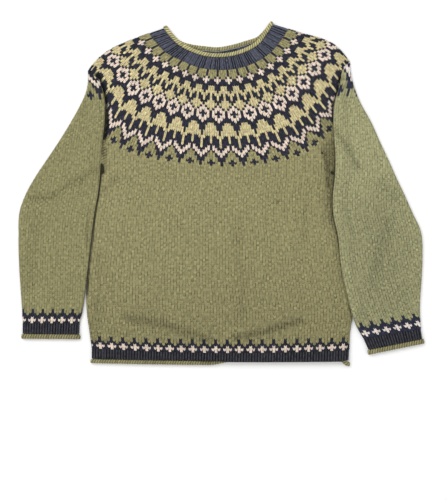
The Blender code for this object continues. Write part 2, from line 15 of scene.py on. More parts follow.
import bmesh
import bpy
import numpy as np
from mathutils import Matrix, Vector


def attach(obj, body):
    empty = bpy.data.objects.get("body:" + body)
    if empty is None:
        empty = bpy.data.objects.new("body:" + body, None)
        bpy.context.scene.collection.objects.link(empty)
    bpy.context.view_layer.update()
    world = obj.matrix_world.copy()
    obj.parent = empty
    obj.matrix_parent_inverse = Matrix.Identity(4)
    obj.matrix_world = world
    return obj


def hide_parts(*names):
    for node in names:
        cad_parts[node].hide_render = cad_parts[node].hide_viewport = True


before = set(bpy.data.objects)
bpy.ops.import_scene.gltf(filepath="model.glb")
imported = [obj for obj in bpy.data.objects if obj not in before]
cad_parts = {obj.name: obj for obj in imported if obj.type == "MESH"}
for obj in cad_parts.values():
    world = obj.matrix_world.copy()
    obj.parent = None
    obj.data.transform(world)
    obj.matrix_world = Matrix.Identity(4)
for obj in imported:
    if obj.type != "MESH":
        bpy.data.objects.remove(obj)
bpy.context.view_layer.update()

LOG = logging.getLogger("jumper")
Array = np.ndarray

MM = 0.001
WALL = 3.0                # thickness of the knitted cloth
LAYER_GAP = 0.3           # between its front layer and its back layer
STACK = 2 * WALL + LAYER_GAP
FOLD_RADIUS = STACK / 2
QUARTER_TURN = math.pi * FOLD_RADIUS / 2
SKIN = 0.2                # the stitches' base above the solid

Wale = namedtuple("Wale", "repeat x0 y0 x10 y10 x21 y21 x35 y35 x45 y45 back_rise")
Armhole = namedtuple("Armhole", "row left right")
Span = namedtuple("Span", "x_a y_a x_b y_b")
Ridge = namedtuple("Ridge", "x0 y0 x1 y1 half_width height")
Lift = namedtuple("Lift", "top full_top full_bottom bottom")
Crease = namedtuple("Crease", "half_width depth line")
Gather = namedtuple("Gather", "x y half_width half_height lean depth")
Window = namedtuple("Window", "start rise end fall")
Cut = namedtuple("Cut", "width length area")
Place = Callable[[Array, Array], Array]
Table = Sequence[tuple[float, float]]
Color = tuple[float, float, float]


# ------------------------------------------------------------ smooth curves


def smoothstep(value: Array) -> Array:
    """Ease values from 0 to 1 between 0 and 1."""
    t = np.clip(value, 0.0, 1.0)
    return t * t * (3 - 2 * t)


def hermite(knots: Sequence[float], values: Array, at: Array) -> Array:
    """Smooth curve through values at the knots, straight beyond the ends.

    Args:
        knots: places of the values, rising.
        values: one value a knot, or one column of them for each place.
        at: places to work the curve out at.

    Returns:
        The curve's value at each place.
    """
    knots = np.asarray(knots, float)
    values = np.asarray(values, float)
    at = np.asarray(at, float)
    own = np.arange(at.size) if values.ndim == 2 else None

    def value(index: Array) -> Array:
        """The knots' values, each place from its own column."""
        return values[index] if own is None else values[index, own]

    def slope(index: Array) -> Array:
        """The curve's slope at a knot."""
        low = np.maximum(index - 1, 0)
        high = np.minimum(index + 1, len(knots) - 1)
        return (value(high) - value(low)) / (knots[high] - knots[low])

    k = np.clip(np.searchsorted(knots, at, side="right") - 1, 0, len(knots) - 2)
    step = knots[k + 1] - knots[k]
    t = (at - knots[k]) / step
    inside = np.clip(t, 0.0, 1.0)
    rise = value(k + 1) - value(k)
    a = slope(k) * step - rise
    b = rise - slope(k + 1) * step
    curve = value(k) + inside * rise + inside * (1 - inside) * (a * (1 - inside) + b * inside)
    before = slope(k) * step * np.minimum(t, 0.0)
    after = slope(k + 1) * step * np.maximum(t - 1, 0.0)
    return curve + before + after


def points_at(x: Array, y: Array, z: Array | float) -> Array:
    """Stack coordinates into points."""
    return np.stack((x, y, np.broadcast_to(z, x.shape)), axis=1)


def within(window: Window, at: Array) -> Array:
    """Ease from 0 up to 1 and down again, from a window's start to its end."""
    rise = smoothstep((at - window.start) / window.rise)
    return rise * smoothstep((window.end - at) / window.fall)


def line_distance(x: Array, y: Array, line: Sequence[Sequence[float]]) -> Array:
    """Distance from each place to a broken line.

    Args:
        x, y: the places.
        line: the line's corners.

    Returns:
        The shortest distance from each place.
    """
    best = np.full(x.shape, np.inf)
    for (x0, y0), (x1, y1) in zip(line[:-1], line[1:]):
        run_x, run_y = x1 - x0, y1 - y0
        along = ((x - x0) * run_x + (y - y0) * run_y) / (run_x**2 + run_y**2)
        along = np.clip(along, 0.0, 1.0)
        best = np.minimum(best, np.hypot(x - x0 - run_x * along, y - y0 - run_y * along))
    return best


# ------------------------------------------------------ the lie of the cloth

# Soft folds of the front layer: from, to, half width and height.
RIDGES = (
    Ridge(-40, -190, -20, 20, 150, 1.2),
    Ridge(-163, -236, -43, -286, 15, 2.6),
    Ridge(13, -292, 157, -232, 15, 2.8),
    Ridge(145, 18, 143, -132, 9, 1.4),
    Ridge(-212, 92, -186, 40, 9, 1.6),
    Ridge(196, 96, 206, 30, 8, 1.6),
    Ridge(-262, 40, -315, 0, 11, 2.0),
    Ridge(252, 100, 268, 40, 10, 1.8),
    Ridge(-300, -60, -345, -150, 22, 1.8),
    Ridge(290, -70, 350, -170, 24, 1.8),
)


def relief(x: Array, y: Array) -> Array:
    """Height of the front layer's soft folds at each place."""
    height = np.zeros(x.shape)
    for ridge in RIDGES:
        line = ((ridge.x0, ridge.y0), (ridge.x1, ridge.y1))
        distance = line_distance(x, y, line) / ridge.half_width
        height += ridge.height * np.exp(-distance * distance)
    return height


@dataclass
class Turn:
    """Where places on a flattened tube lie, measured along its surface.

    Attributes:
        flat: distance from the left side fold, seen from above.
        rise: 1 on a flat layer, down to 0 at the middle of a side fold.
        front: whether a place is on the front layer.
    """

    flat: Array
    rise: Array
    front: Array


def half_round(width: Array) -> Array:
    """Surface length from one side fold's middle to the other's."""
    return width - 2 * FOLD_RADIUS + 2 * QUARTER_TURN


def turn_round(s: Array, width: Array) -> Turn:
    """Wrap surface lengths round a flattened tube.

    Args:
        s: lengths along the surface from the middle of the left side fold,
            first over the front layer and then back over the rear one.
        width: the tube's flat width at each place.

    Returns:
        The places' lie on the tube.
    """
    half = half_round(width)
    s = np.mod(s, 2 * half)
    front = s <= half
    from_left = np.where(front, s, 2 * half - s)
    from_right = half - from_left
    near_left = from_left < QUARTER_TURN
    near_right = from_right < QUARTER_TURN
    left_angle = np.minimum(from_left, QUARTER_TURN) / FOLD_RADIUS
    right_angle = np.minimum(from_right, QUARTER_TURN) / FOLD_RADIUS
    flat = FOLD_RADIUS + from_left - QUARTER_TURN
    flat = np.where(near_left, FOLD_RADIUS * (1 - np.cos(left_angle)), flat)
    flat = np.where(near_right, width - FOLD_RADIUS * (1 - np.cos(right_angle)), flat)
    rise = np.minimum(np.sin(left_angle), np.sin(right_angle))
    return Turn(flat, rise, front)


def stacked_height(turn: Turn, front_extra: Array, back_extra: Array) -> Array:
    """Height of the cloth's outer surface above the place that it lies on.

    Args:
        turn: the places' lie on the tube.
        front_extra: what the front layer gains over its plain height.
        back_extra: what the rear layer gains over the surface.

    Returns:
        Heights, front and rear layers joined by the side folds.
    """
    top = FOLD_RADIUS * (1 + turn.rise) + front_extra * turn.rise
    low = FOLD_RADIUS * (1 - turn.rise) + back_extra * turn.rise
    return np.where(turn.front, top, low)


# ------------------------------------------------------------- the yarns


def linear(red: int, green: int, blue: int) -> Color:
    """A screen colour from 0 to 255 as the shader's linear colour."""
    return tuple(((level / 255 + 0.055) / 1.055) ** 2.4 for level in (red, green, blue))


class Yarn(Enum):
    """The four yarns, by the letter that stands for them in the charts."""

    OLIVE = "G"
    NAVY = "N"
    PEACH = "P"
    LIME = "L"


YARN_COLORS = {
    Yarn.OLIVE: linear(158, 152, 109),
    Yarn.NAVY: linear(46, 47, 60),
    Yarn.PEACH: linear(250, 231, 213),
    Yarn.LIME: linear(212, 199, 152),
}
# How much single stitches of a yarn differ in tone, and how much of that in warmth.
YARN_TWEED = {Yarn.OLIVE: 0.12, Yarn.NAVY: 0.2, Yarn.PEACH: 0.08, Yarn.LIME: 0.1}
TWEED_WARMTH = 0.2
FIBRE_RANGE = (0.3, 0.7)  # span of the noise that makes the flecks
CLOUD_RANGE = (0.35, 0.65)  # and of the one that makes the patches


class Wiring:
    """Adds nodes to a material."""

    def __init__(self, material: bpy.types.Material) -> None:
        """Take the material's node tree."""
        material.use_nodes = True
        self.tree = material.node_tree
        self.shader = self.tree.nodes["Principled BSDF"]

    def feed(self, node: bpy.types.Node, inputs: dict) -> None:
        """Set a node's inputs by name or number, or link them where given an output."""
        for socket, value in inputs.items():
            if isinstance(value, bpy.types.NodeSocket):
                self.tree.links.new(value, node.inputs[socket])
            else:
                node.inputs[socket].default_value = value

    def add(self, kind: str, output: str, inputs: dict,
            operation: str | None = None) -> bpy.types.NodeSocket:
        """Add a node.

        Args:
            kind: the end of its type's name.
            output: the name of its output that is wanted.
            inputs: values or outputs for its inputs.
            operation: what a maths node does.

        Returns:
            The output.
        """
        node = self.tree.nodes.new(f"ShaderNode{kind}")
        if operation is not None:
            node.operation = operation
        self.feed(node, inputs)
        return node.outputs[output]

    def attribute(self, name: str, output: str) -> bpy.types.NodeSocket:
        """The named attribute of the mesh."""
        node = self.tree.nodes.new("ShaderNodeAttribute")
        node.attribute_name = name
        return node.outputs[output]

    def noise(self, size: float, inputs: dict) -> bpy.types.NodeSocket:
        """Noise of a size in metres that is fixed to the piece."""
        place = self.add("TexCoord", "Object", {})
        inputs = {"Scale": 1 / size, "Vector": place, **inputs}
        return self.add("TexNoise", "Fac", inputs)

    def remap(self, value: bpy.types.NodeSocket, source: tuple[float, float],
              target: tuple[float, float]) -> bpy.types.NodeSocket:
        """Stretch a value from one range to another."""
        return self.add("MapRange", "Result", {
            "Value": value, "From Min": source[0], "From Max": source[1],
            "To Min": target[0], "To Max": target[1]})

    def product(self, one: bpy.types.NodeSocket, other: bpy.types.NodeSocket) -> bpy.types.NodeSocket:
        """Multiply two values."""
        return self.add("Math", "Value", {0: one, 1: other}, "MULTIPLY")


@dataclass(frozen=True)
class WoolFinish:
    """Matt wool whose colour comes from the stitches themselves.

    Attributes:
        name: the material's name.
        shade: how dark the painted shade makes the stitches' hollows, 0 to 1.
        roughness: how matt it is.
        shine: strength of its highlights.
        fuzz: weight of the sheen of loose fibres.
        fuzz_roughness: how wide that sheen spreads.
        strand: length of the strands' fine twist, in metres.
        twist: strength of its bump.
        flecks: how much lighter and darker the strands are.
        patch: length of the soft lighter and darker patches, in metres.
        mottle: how much they differ.
    """

    name: str
    shade: float = 0.94
    roughness: float = 0.92
    shine: float = 0.18
    fuzz: float = 0.12
    fuzz_roughness: float = 0.5
    strand: float = 0.0009
    twist: float = 0.25
    flecks: float = 0.16
    patch: float = 0.022
    mottle: float = 0.03

    def make(self) -> bpy.types.Material:
        """Build the node material.

        Returns:
            A material that reads the stitches' "yarn" and "painted_shade" attributes; the painted
            shade darkens the yarn.
        """
        material = bpy.data.materials.new(self.name)
        wires = Wiring(material)
        fibres = wires.noise(self.strand, {"Detail": 2.0, "Roughness": 0.6})
        clouds = wires.noise(self.patch, {"Detail": 1.0})
        # Painted shade: darkens the yarn in the hollows, creases and folds.
        painted_shade = wires.attribute("painted_shade", "Fac")
        light = wires.remap(painted_shade, (0.0, 1.0), (1.0, 1 - self.shade))
        flecks = wires.remap(fibres, FIBRE_RANGE, (1 - self.flecks, 1 + self.flecks))
        patches = wires.remap(clouds, CLOUD_RANGE, (1 - self.mottle, 1 + self.mottle))
        level = wires.product(light, wires.product(flecks, patches))
        yarn = wires.attribute("yarn", "Color")
        color = wires.add("VectorMath", "Vector", {0: yarn, "Scale": level}, "SCALE")
        bump = wires.add("Bump", "Normal", {
            "Strength": self.twist, "Distance": self.strand / 2, "Height": fibres})
        wires.feed(wires.shader, {
            "Base Color": color, "Normal": bump, "Roughness": self.roughness,
            "Specular IOR Level": self.shine, "Sheen Weight": self.fuzz,
            "Sheen Roughness": self.fuzz_roughness})
        return material


# ----------------------------------------------------- the stitch grid


@dataclass(frozen=True)
class Knitting:
    """The form of one stitch.

    Attributes:
        across: faces across a stitch.
        along: faces along it.
        lean: how far its arms rise from the middle to its edges, in rows.
        height: from the hollows to the top of the yarn.
        seam: relative heights across a stitch where its row meets the next.
        middle: relative heights across it halfway along.
        seam_painted_shade: painted shade across a stitch where its row meets the next.
        middle_painted_shade: painted shade across it halfway along.
        rib: depth that every other column of stitches falls back.
        purl_painted_shade: painted shade, how much darker those sunk columns are coloured.
        clump: how uneven the painted shade in the ribs' grooves is.
    """

    across: int = 4
    along: int = 2
    lean: float = 0.58
    height: float = 1.3
    seam: tuple[float, ...] = (0.15, 0.6, 0.45, 0.6)
    middle: tuple[float, ...] = (0.3, 1.0, 0.0, 1.0)
    seam_painted_shade: tuple[float, ...] = (0.75, 0.05, 0.35, 0.05)
    middle_painted_shade: tuple[float, ...] = (0.68, 0.0, 0.6, 0.0)
    rib: float = 0.0
    purl_painted_shade: float = 0.0
    clump: float = 0.0


PLAIN = Knitting()
# Painted light: the yoke's yarns are coloured this much lighter than the same yarns elsewhere.
YOKE_PAINTED_LIGHT = (1.2, 1.19, 1.18)
YOKE_KNITTING = Knitting(seam_painted_shade=(0.95, 0.05, 0.5, 0.05), middle_painted_shade=(0.95, 0.0, 0.85, 0.0))
RIBBED = Knitting(lean=0.6, height=0.45, rib=0.5, seam_painted_shade=(0.8, 0.0, 0.1, 0.0),
                  middle_painted_shade=(0.6, 0.0, 0.1, 0.0), purl_painted_shade=0.95, clump=0.15)
OPEN_RIBBED = Knitting(lean=0.6, height=0.45, rib=0.5, seam_painted_shade=(0.7, 0.1, 0.2, 0.1),
                       middle_painted_shade=(0.6, 0.0, 0.1, 0.0), purl_painted_shade=0.6, clump=0.7)
RIB_FLANK = 0.6           # share of a rib's depth at the edge between two columns
GROOVE_RANGE = (0.1, 1.8)  # how dark the painted shade in the ribs' grooves may be, beside the usual
NOTCH_SPREAD = 0.9        # how uneven the painted shade in the stitches' notches is
FOLD_PAINTED_SHADE = 0.25          # painted shade: how much darker the cloth is coloured where it turns down
SUNK_ROWS = 1.1           # a sunk first row stays down up to here
SUNK_EASE = 0.8           # and is up again this many rows on
TOP_SUNK_ROWS = 1.6       # a sunk last row starts to go down this far from the top
TOP_SUNK_EASE = 0.9       # and is down this many rows on
TONE_SEED = 11
NOTCH_SEED = 12
NUDGE = 1e-4              # keeps a point on the edge of a stitch in that stitch
PROBE = 0.05              # step from a point to its neighbours on the surface
MAP_MARGIN = 0.002        # border of the flat map
JOIN_WITHIN = 0.00001     # points nearer than this are joined, in metres


def fine_grain(random: np.random.Generator, shape: tuple[int, ...], axis: int) -> Array:
    """Random tones round 0, without broad patches along one axis."""
    tones = random.uniform(-1.0, 1.0, shape)
    return tones - (np.roll(tones, 1, axis) + np.roll(tones, -1, axis)) / 2


def flat_grid(columns: int, rows: int, width: float, length: float) -> bmesh.types.BMesh:
    """A flat grid of faces.

    Args:
        columns: faces along X.
        rows: faces along Y.
        width: its size along X.
        length: its size along Y.

    Returns:
        A bmesh with its first corner at the origin.
    """
    grid = bmesh.new()
    bmesh.ops.create_grid(grid, x_segments=columns, y_segments=rows, size=0.5)
    bmesh.ops.translate(grid, vec=(0.5, 0.5, 0.0), verts=grid.verts)
    bmesh.ops.scale(grid, vec=(width, length, 1.0), verts=grid.verts)
    return grid


def flat_mesh(name: str, grid: bmesh.types.BMesh) -> tuple[bpy.types.Mesh, Array, Array, Array]:
    """Turn a flat grid into a mesh and read it.

    Args:
        name: the mesh's name.
        grid: the grid, which is freed.

    Returns:
        The mesh, X and Y of its points, and the four points of every face.
    """
    mesh = bpy.data.meshes.new(name)
    grid.to_mesh(mesh)
    grid.free()
    places = np.empty(len(mesh.vertices) * 3)
    mesh.vertices.foreach_get("co", places)
    corners = np.empty(len(mesh.loops), dtype=np.int32)
    mesh.loops.foreach_get("vertex_index", corners)
    return mesh, places[0::3], places[1::3], corners.reshape(-1, 4)


def clothe(mesh: bpy.types.Mesh, points: Array, painted_shade: Array, colors: Array, spread: Array) -> None:
    """Put a flat mesh in place and give it its looks.

    Args:
        mesh: the mesh.
        points: places of its points in millimetres.
        painted_shade: how much painted shade each point gets.
        colors: red, green, blue and 1 for every face.
        spread: place of every face corner on the flat map, from 0 to 1.
    """
    mesh.vertices.foreach_set("co", (points * MM).ravel())
    mesh.attributes.new("painted_shade", "FLOAT", "POINT").data.foreach_set("value", painted_shade)
    mesh.attributes.new("yarn", "FLOAT_COLOR", "FACE").data.foreach_set("color", colors.ravel())
    layer = mesh.uv_layers.new(name="OFBake")
    layer.data.foreach_set("uv", (MAP_MARGIN + (1 - 2 * MAP_MARGIN) * spread).ravel())


@dataclass
class StitchGrid:
    """A rectangle of stitches that is laid over a surface.

    Attributes:
        wales: stitches across.
        rows: stitches along, counted towards the neck.
        place: surface places, from stitch and row numbers.
        yarns: yarn of each stitch, from whole stitch and row numbers.
        knitting: the form of the stitches.
        keep: which stitches are there, from whole numbers, or all.
        darker: extra painted shade and shadow, from places, or none.
        band: lowest and highest share of the piece's flat map that it fills.
        open_top: whether the last row keeps its points over the next piece.
        sunk: depth of the first row, which lies under such points.
        sunk_top: depth of the last row, where it lies under the next piece.
        painted_light: painted light, how much lighter the yarn is coloured than elsewhere, in red,
            green and blue.
    """

    wales: int
    rows: int
    place: Place
    yarns: Callable[[Array, Array], Array]
    knitting: Knitting = PLAIN
    open_top: bool = False
    sunk: float = 0.0
    sunk_top: float = 0.0
    painted_light: Color = (1.0, 1.0, 1.0)
    keep: Callable[[Array, Array], Array] | None = None
    darker: Callable[[Array], Array] | None = None
    band: tuple[float, float] = (0.0, 1.0)

    def sheet(self) -> bmesh.types.BMesh:
        """The flat grid, with the missing stitches cut out.

        Returns:
            A bmesh whose X and Y count stitches and rows.
        """
        form = self.knitting
        flat = flat_grid(self.wales * form.across, self.rows * form.along, self.wales, self.rows)
        if self.keep is not None:
            faces = list(flat.faces)
            middles = np.array([face.calc_center_median()[:2] for face in faces])
            stays = self.keep(np.floor(middles[:, 0]), np.floor(middles[:, 1]))
            gone = [face for face, stay in zip(faces, stays) if not stay]
            bmesh.ops.delete(flat, geom=gone, context="FACES")
        return flat

    def surface(self, u: Array, v: Array) -> tuple[Array, Array]:
        """Find places on the surface.

        Args:
            u: stitch numbers, with their fractions.
            v: row numbers, with their fractions.

        Returns:
            The places and the surface's outward directions there.
        """
        ahead = self.place(u + PROBE, v) - self.place(u - PROBE, v)
        upward = self.place(u, v + PROBE) - self.place(u, v - PROBE)
        normal = np.cross(ahead, upward)
        normal /= np.maximum(np.linalg.norm(normal, axis=1), 1e-9)[:, None]
        return self.place(u, v), normal

    def lay(self, u: Array, v: Array) -> tuple[Array, Array]:
        """Places of the stitches' points and how much painted shade each one gets.

        Args:
            u: stitch numbers of the points, with their fractions.
            v: row numbers of the points, with their fractions.

        Returns:
            Places in millimetres and painted shade from 0 to 1.
        """
        form = self.knitting
        wale, row = np.floor(u + NUDGE), np.floor(v + NUDGE)
        quarter = np.rint((u - wale) * form.across).astype(int) % form.across
        halfway = np.rint((v - row) * form.along).astype(int) % form.along
        inner = np.minimum(v, 1.0)
        if not self.open_top:
            inner = np.minimum(inner, self.rows - v)
        swing = np.abs(quarter - form.across / 2) / (form.across / 2) - 0.5
        leaned = v + form.lean * swing * inner
        points, normal = self.surface(u, leaned)

        edge = quarter == 0
        purl = (wale % 2 == 1) & ~edge
        share = np.where(halfway == 0, np.array(form.seam)[quarter], np.array(form.middle)[quarter])
        drop = form.rib * np.where(purl, 1.0, np.where(edge, RIB_FLANK, 0.0))
        sunk = self.sunk * (1 - smoothstep((leaned - SUNK_ROWS) / SUNK_EASE))
        from_top = leaned - self.rows + TOP_SUNK_ROWS
        sunk_top = self.sunk_top * smoothstep(from_top / TOP_SUNK_EASE)
        height = share * form.height - drop - sunk - sunk_top
        down = (1 - normal[:, 2]) / 2
        points = points + normal * (height - down * (form.height + SKIN))[:, None]

        # Painted shade in the notches between stitches and in the ribs' sunk columns, uneven from
        # point to point, and on the side folds.
        random = np.random.default_rng(NOTCH_SEED)
        uneven = 1 + NOTCH_SPREAD * (random.random(len(u)) - 0.5)
        dark = np.where(halfway == 0, np.array(form.seam_painted_shade)[quarter],
                        np.array(form.middle_painted_shade)[quarter])
        if form.rib:
            grooves = 1 + form.clump * random.normal(0.0, 1.0, self.wales + 1)
            grooves = np.clip(grooves, *GROOVE_RANGE)[wale.astype(int)]
            dark = np.where(purl, dark + form.purl_painted_shade * grooves, dark)
            dark = np.where(edge, dark * grooves, dark)
        return points, dark * uneven + FOLD_PAINTED_SHADE * (1 - np.abs(normal[:, 2]))

    def build(self) -> bpy.types.Mesh:
        """Lay the stitches and give them their yarns.

        Returns:
            A mesh in metres with "yarn" and "painted_shade" attributes and a flat map.
        """
        mesh, u, v, corners = flat_mesh("stitches", self.sheet())
        points, painted_shade = self.lay(u, v)
        # Add the painted shade and shadow of creases, underlaps and gathers.
        if self.darker is not None:
            painted_shade = np.clip(painted_shade + self.darker(points), 0.0, DARKEST)
        wale = np.floor(u[corners].mean(axis=1)).astype(int)
        row = np.floor(v[corners].mean(axis=1)).astype(int)
        low, high = self.band
        spread = np.stack((u[corners] / self.wales,
                           low + (high - low) * v[corners] / self.rows), axis=2)
        clothe(mesh, points, painted_shade, self.dye(wale, row), spread)
        return mesh

    def dye(self, wale: Array, row: Array) -> Array:
        """Colours of the stitches' yarns, each stitch a little different.

        Args:
            wale: whole stitch numbers.
            row: whole row numbers.

        Returns:
            Red, green, blue and 1, no lighter than white.
        """
        letters = self.yarns(wale, row)
        random = np.random.default_rng(TONE_SEED)
        shape = (self.wales + 1, self.rows + 1, 2)
        tone = (fine_grain(random, shape, 0) + fine_grain(random, shape, 1))[wale, row]
        colors = np.ones((len(wale), 4))
        for yarn, color in YARN_COLORS.items():
            mine = letters == yarn.value
            level = 1 + YARN_TWEED[yarn] * tone[mine, 0]
            warm = 1 + TWEED_WARMTH * YARN_TWEED[yarn] * tone[mine, 1]
            colors[mine, 0] = self.painted_light[0] * color[0] * level * warm
            colors[mine, 1] = self.painted_light[1] * color[1] * level
            colors[mine, 2] = self.painted_light[2] * color[2] * level / warm
        return colors / np.maximum(colors.max(axis=1, keepdims=True), 1.0)


def join_meshes(name: str, meshes: Sequence[bpy.types.Mesh]) -> bpy.types.Object:
    """Make one smooth object from meshes whose edges meet.

    Args:
        name: the object's name.
        meshes: stitched meshes in place, in metres.

    Returns:
        The object, with the points along shared edges joined.
    """
    whole = bmesh.new()
    for mesh in meshes:
        whole.from_mesh(mesh)
        bpy.data.meshes.remove(mesh)
    bmesh.ops.remove_doubles(whole, verts=whole.verts, dist=JOIN_WITHIN)
    joined = bpy.data.meshes.new(name)
    whole.to_mesh(joined)
    whole.free()
    joined.shade_smooth()
    piece = bpy.data.objects.new(name, joined)
    bpy.context.scene.collection.objects.link(piece)
    return piece


# ---------------------------------------------------------------- the yoke

# Lines of stitches up the yoke: their pattern repeat, their places at five rows
# and how much higher they end on the rear layer.
YOKE_ROWS = (0, 10, 21, 35, 45)
YOKE_WALES = (
    Wale(-8.85, -272, 219, -264, 249, -229, 284, -168, 312, -116, 330, 0),
    Wale(-8.00, -269, 192, -249, 240, -215, 264, -159, 300, -108, 318, 1),
    Wale(-6.00, -231, 113, -205, 162, -175, 210, -130, 268, -88, 297, 2),
    Wale(-4.00, -165, 77, -146, 128, -123, 184, -91, 248, -63, 283, 7),
    Wale(-2.00, -84, 64, -76, 110, -67, 166, -52, 232, -35, 274, 12),
    Wale(0.00, 1, 56, -2, 102, -6, 158, -8, 226, -6, 271, 13),
    Wale(2.00, 88, 61, 73, 107, 56, 161, 36, 228, 23, 274, 15),
    Wale(4.00, 171, 85, 146, 128, 115, 181, 78, 242, 51, 283, 14),
    Wale(6.00, 229, 140, 199, 177, 163, 222, 115, 267, 76, 298, 8),
    Wale(8.00, 261, 202, 240, 244, 204, 276, 144, 301, 94, 322, 2),
    Wale(9.10, 271, 232, 257, 262, 222, 300, 157, 322, 104, 338, 0),
)
REPEATS = 36              # pattern repeats round the yoke
FIRST_REPEAT = YOKE_WALES[0].repeat
LAST_REPEAT = YOKE_WALES[-1].repeat
FIRST_STITCH = -9.0       # the repeat where the rounds of stitches start
CAP_ROW = 10              # the armholes end at this row of the yoke
LEFT_CAP_ROW = 9          # the left sleeve's cap reaches up to this row
RIGHT_CAP_ROW = 11        # and the right one's to this row
BAND_ROW = 40             # the neckband starts here
YOKE_TOP_ROW = 45         # and its curled edge here
UNDER_DEPTH = 1.3         # a band's first row lies this far under the band below
WIDTH_RANGE = (-2.0, 50.0)  # rows whose width is measured
WIDTH_STEPS = 80          # places along a round of the yoke, where it is measured
EDGE_STEPS = 160          # places along its lowest round
EDGE_INSET = 0.5          # which stop this many repeats from the side folds
ARMHOLES = (
    Armhole(0, -6.50, 6.05),
    Armhole(4, -6.95, 6.60),
    Armhole(7.5, -7.25, 7.25),
    Armhole(CAP_ROW, -7.75, 7.85),
)

# Yoke charts, lowest row first, by the letters of the yarns. Each repeat is
# centred on the column of the zigzag's tips, the lozenges and the crosses.
ZIGZAG_CHART = """
    GGGNGGGN
    NGGNGGNN
    GGNNNGGN
    GGNNNGGG
    GNNPNNGG
    GNPPPNGG
    NPPNPPNG
    PPNNNPPN
    PNNLNNPN
    NNNLNNNN
    NNNLNNNL
    NNNLNNNL
    NNLLLNNL
    LLLNLLLL
    LLLNLLLL
    LLNNNLLL
    LLNNNLLL
    LNNNNNLL
""".split()
ZIGZAG_MIDDLE = 3         # the column of its tips
LOZENGE_CHART = """
    NNNNNN
    NNPNNN
    NPPPNN
    PPNPPN
    PNNNPN
    PPNPPN
    NPPPNL
    LNPNLL
    LLNLLL
    LNNNLL
    NNLNNL
    NNLNNL
    NLLLNL
    LLNLLL
    LNNNLL
    LNNNLL
""".split()
CROSS_CHART = """
    NNNNN
    NNNNN
    NPNNN
    PPPNN
    NPNGG
    GNGGG
    GNGGG
    GNGGG
""".split()
# The bands above the ribbing at the hem, the left cuff and the right cuff.
HEM_CHART = """
    NPNN
    PPPN
    NPNN
    NNNG
    GNGG
    GNGG
""".split()
LEFT_CUFF_CHART = """
    NPNN
    PPPN
    NPNN
    NNNN
    NNNG
    GNGG
    GNGG
""".split()
RIGHT_CUFF_CHART = ["NNNN"] + LEFT_CUFF_CHART
HEM_SHIFT = 2             # stitches from a cross to the left side fold


def chart_letters(chart: Sequence[str], column: Array, row: Array) -> Array:
    """Look stitches up in a chart.

    Args:
        chart: its rows, lowest first, each one repeat wide.
        column: stitch numbers, in any repeat.
        row: row numbers; those outside the chart are olive.

    Returns:
        The letter of each stitch's yarn.
    """
    cells = np.array([list(line) for line in chart])
    inside = (row >= 0) & (row < len(chart))
    letters = cells[np.where(inside, row, 0), np.mod(column, cells.shape[1])]
    return np.where(inside, letters, Yarn.OLIVE.value)


def yoke_plan(repeat: Array, row: Array, back: Array) -> tuple[Array, Array]:
    """Place of pattern repeats and rows on the yoke, seen from above.

    Args:
        repeat: pattern repeats, 0 at the middle.
        row: rows of the pattern.
        back: whether each place is on the rear layer.

    Returns:
        X and Y of the places.
    """
    knots = [wale.repeat for wale in YOKE_WALES]
    *places, rise = [hermite(knots, column, repeat) for column in list(zip(*YOKE_WALES))[1:]]
    x = hermite(YOKE_ROWS, np.array(places[0::2]), row)
    y = hermite(YOKE_ROWS, np.array(places[1::2]), row)
    return x, y + np.where(back, rise * smoothstep(row / YOKE_TOP_ROW), 0.0)


def armhole_repeats(row: Array) -> tuple[Array, Array]:
    """Find the two armhole edges.

    Args:
        row: rows of the yoke.

    Returns:
        The pattern repeats at the left and the right edge.
    """
    rows = [edge.row for edge in ARMHOLES]
    low = np.minimum(row, CAP_ROW)
    left = hermite(rows, [edge.left for edge in ARMHOLES], low)
    right = hermite(rows, [edge.right for edge in ARMHOLES], low)
    return left, right


def yoke_widths() -> tuple[Array, Array]:
    """Rows of the yoke and the length of each row's front half."""
    rows = np.arange(*WIDTH_RANGE)
    repeats = np.linspace(FIRST_REPEAT, LAST_REPEAT, WIDTH_STEPS)
    widths = []
    for row in rows:
        x, y = yoke_plan(repeats, np.full(WIDTH_STEPS, row), np.zeros(WIDTH_STEPS, bool))
        widths.append(np.hypot(np.diff(x), np.diff(y)).sum())
    return rows, np.array(widths)


WIDTH_ROWS, WIDTHS = yoke_widths()


def yoke_turn(repeat: Array, row: Array) -> tuple[Turn, Array, Array]:
    """Wrap pattern repeats round the yoke.

    Args:
        repeat: pattern repeats, counted on round the whole yoke.
        row: rows of the pattern.

    Returns:
        Their lie on the flattened tube, and X and Y seen from above.
    """
    width = np.interp(row, WIDTH_ROWS, WIDTHS)
    front_repeats = LAST_REPEAT - FIRST_REPEAT
    back_repeats = REPEATS - front_repeats
    past = np.mod(repeat - FIRST_REPEAT, REPEATS)
    share = np.where(past < front_repeats, past / front_repeats,
                     1 + (past - front_repeats) / back_repeats)
    turn = turn_round(share * half_round(width), width)
    level = FIRST_REPEAT + front_repeats * turn.flat / width
    x, y = yoke_plan(level, row, ~turn.front)
    return turn, x, y


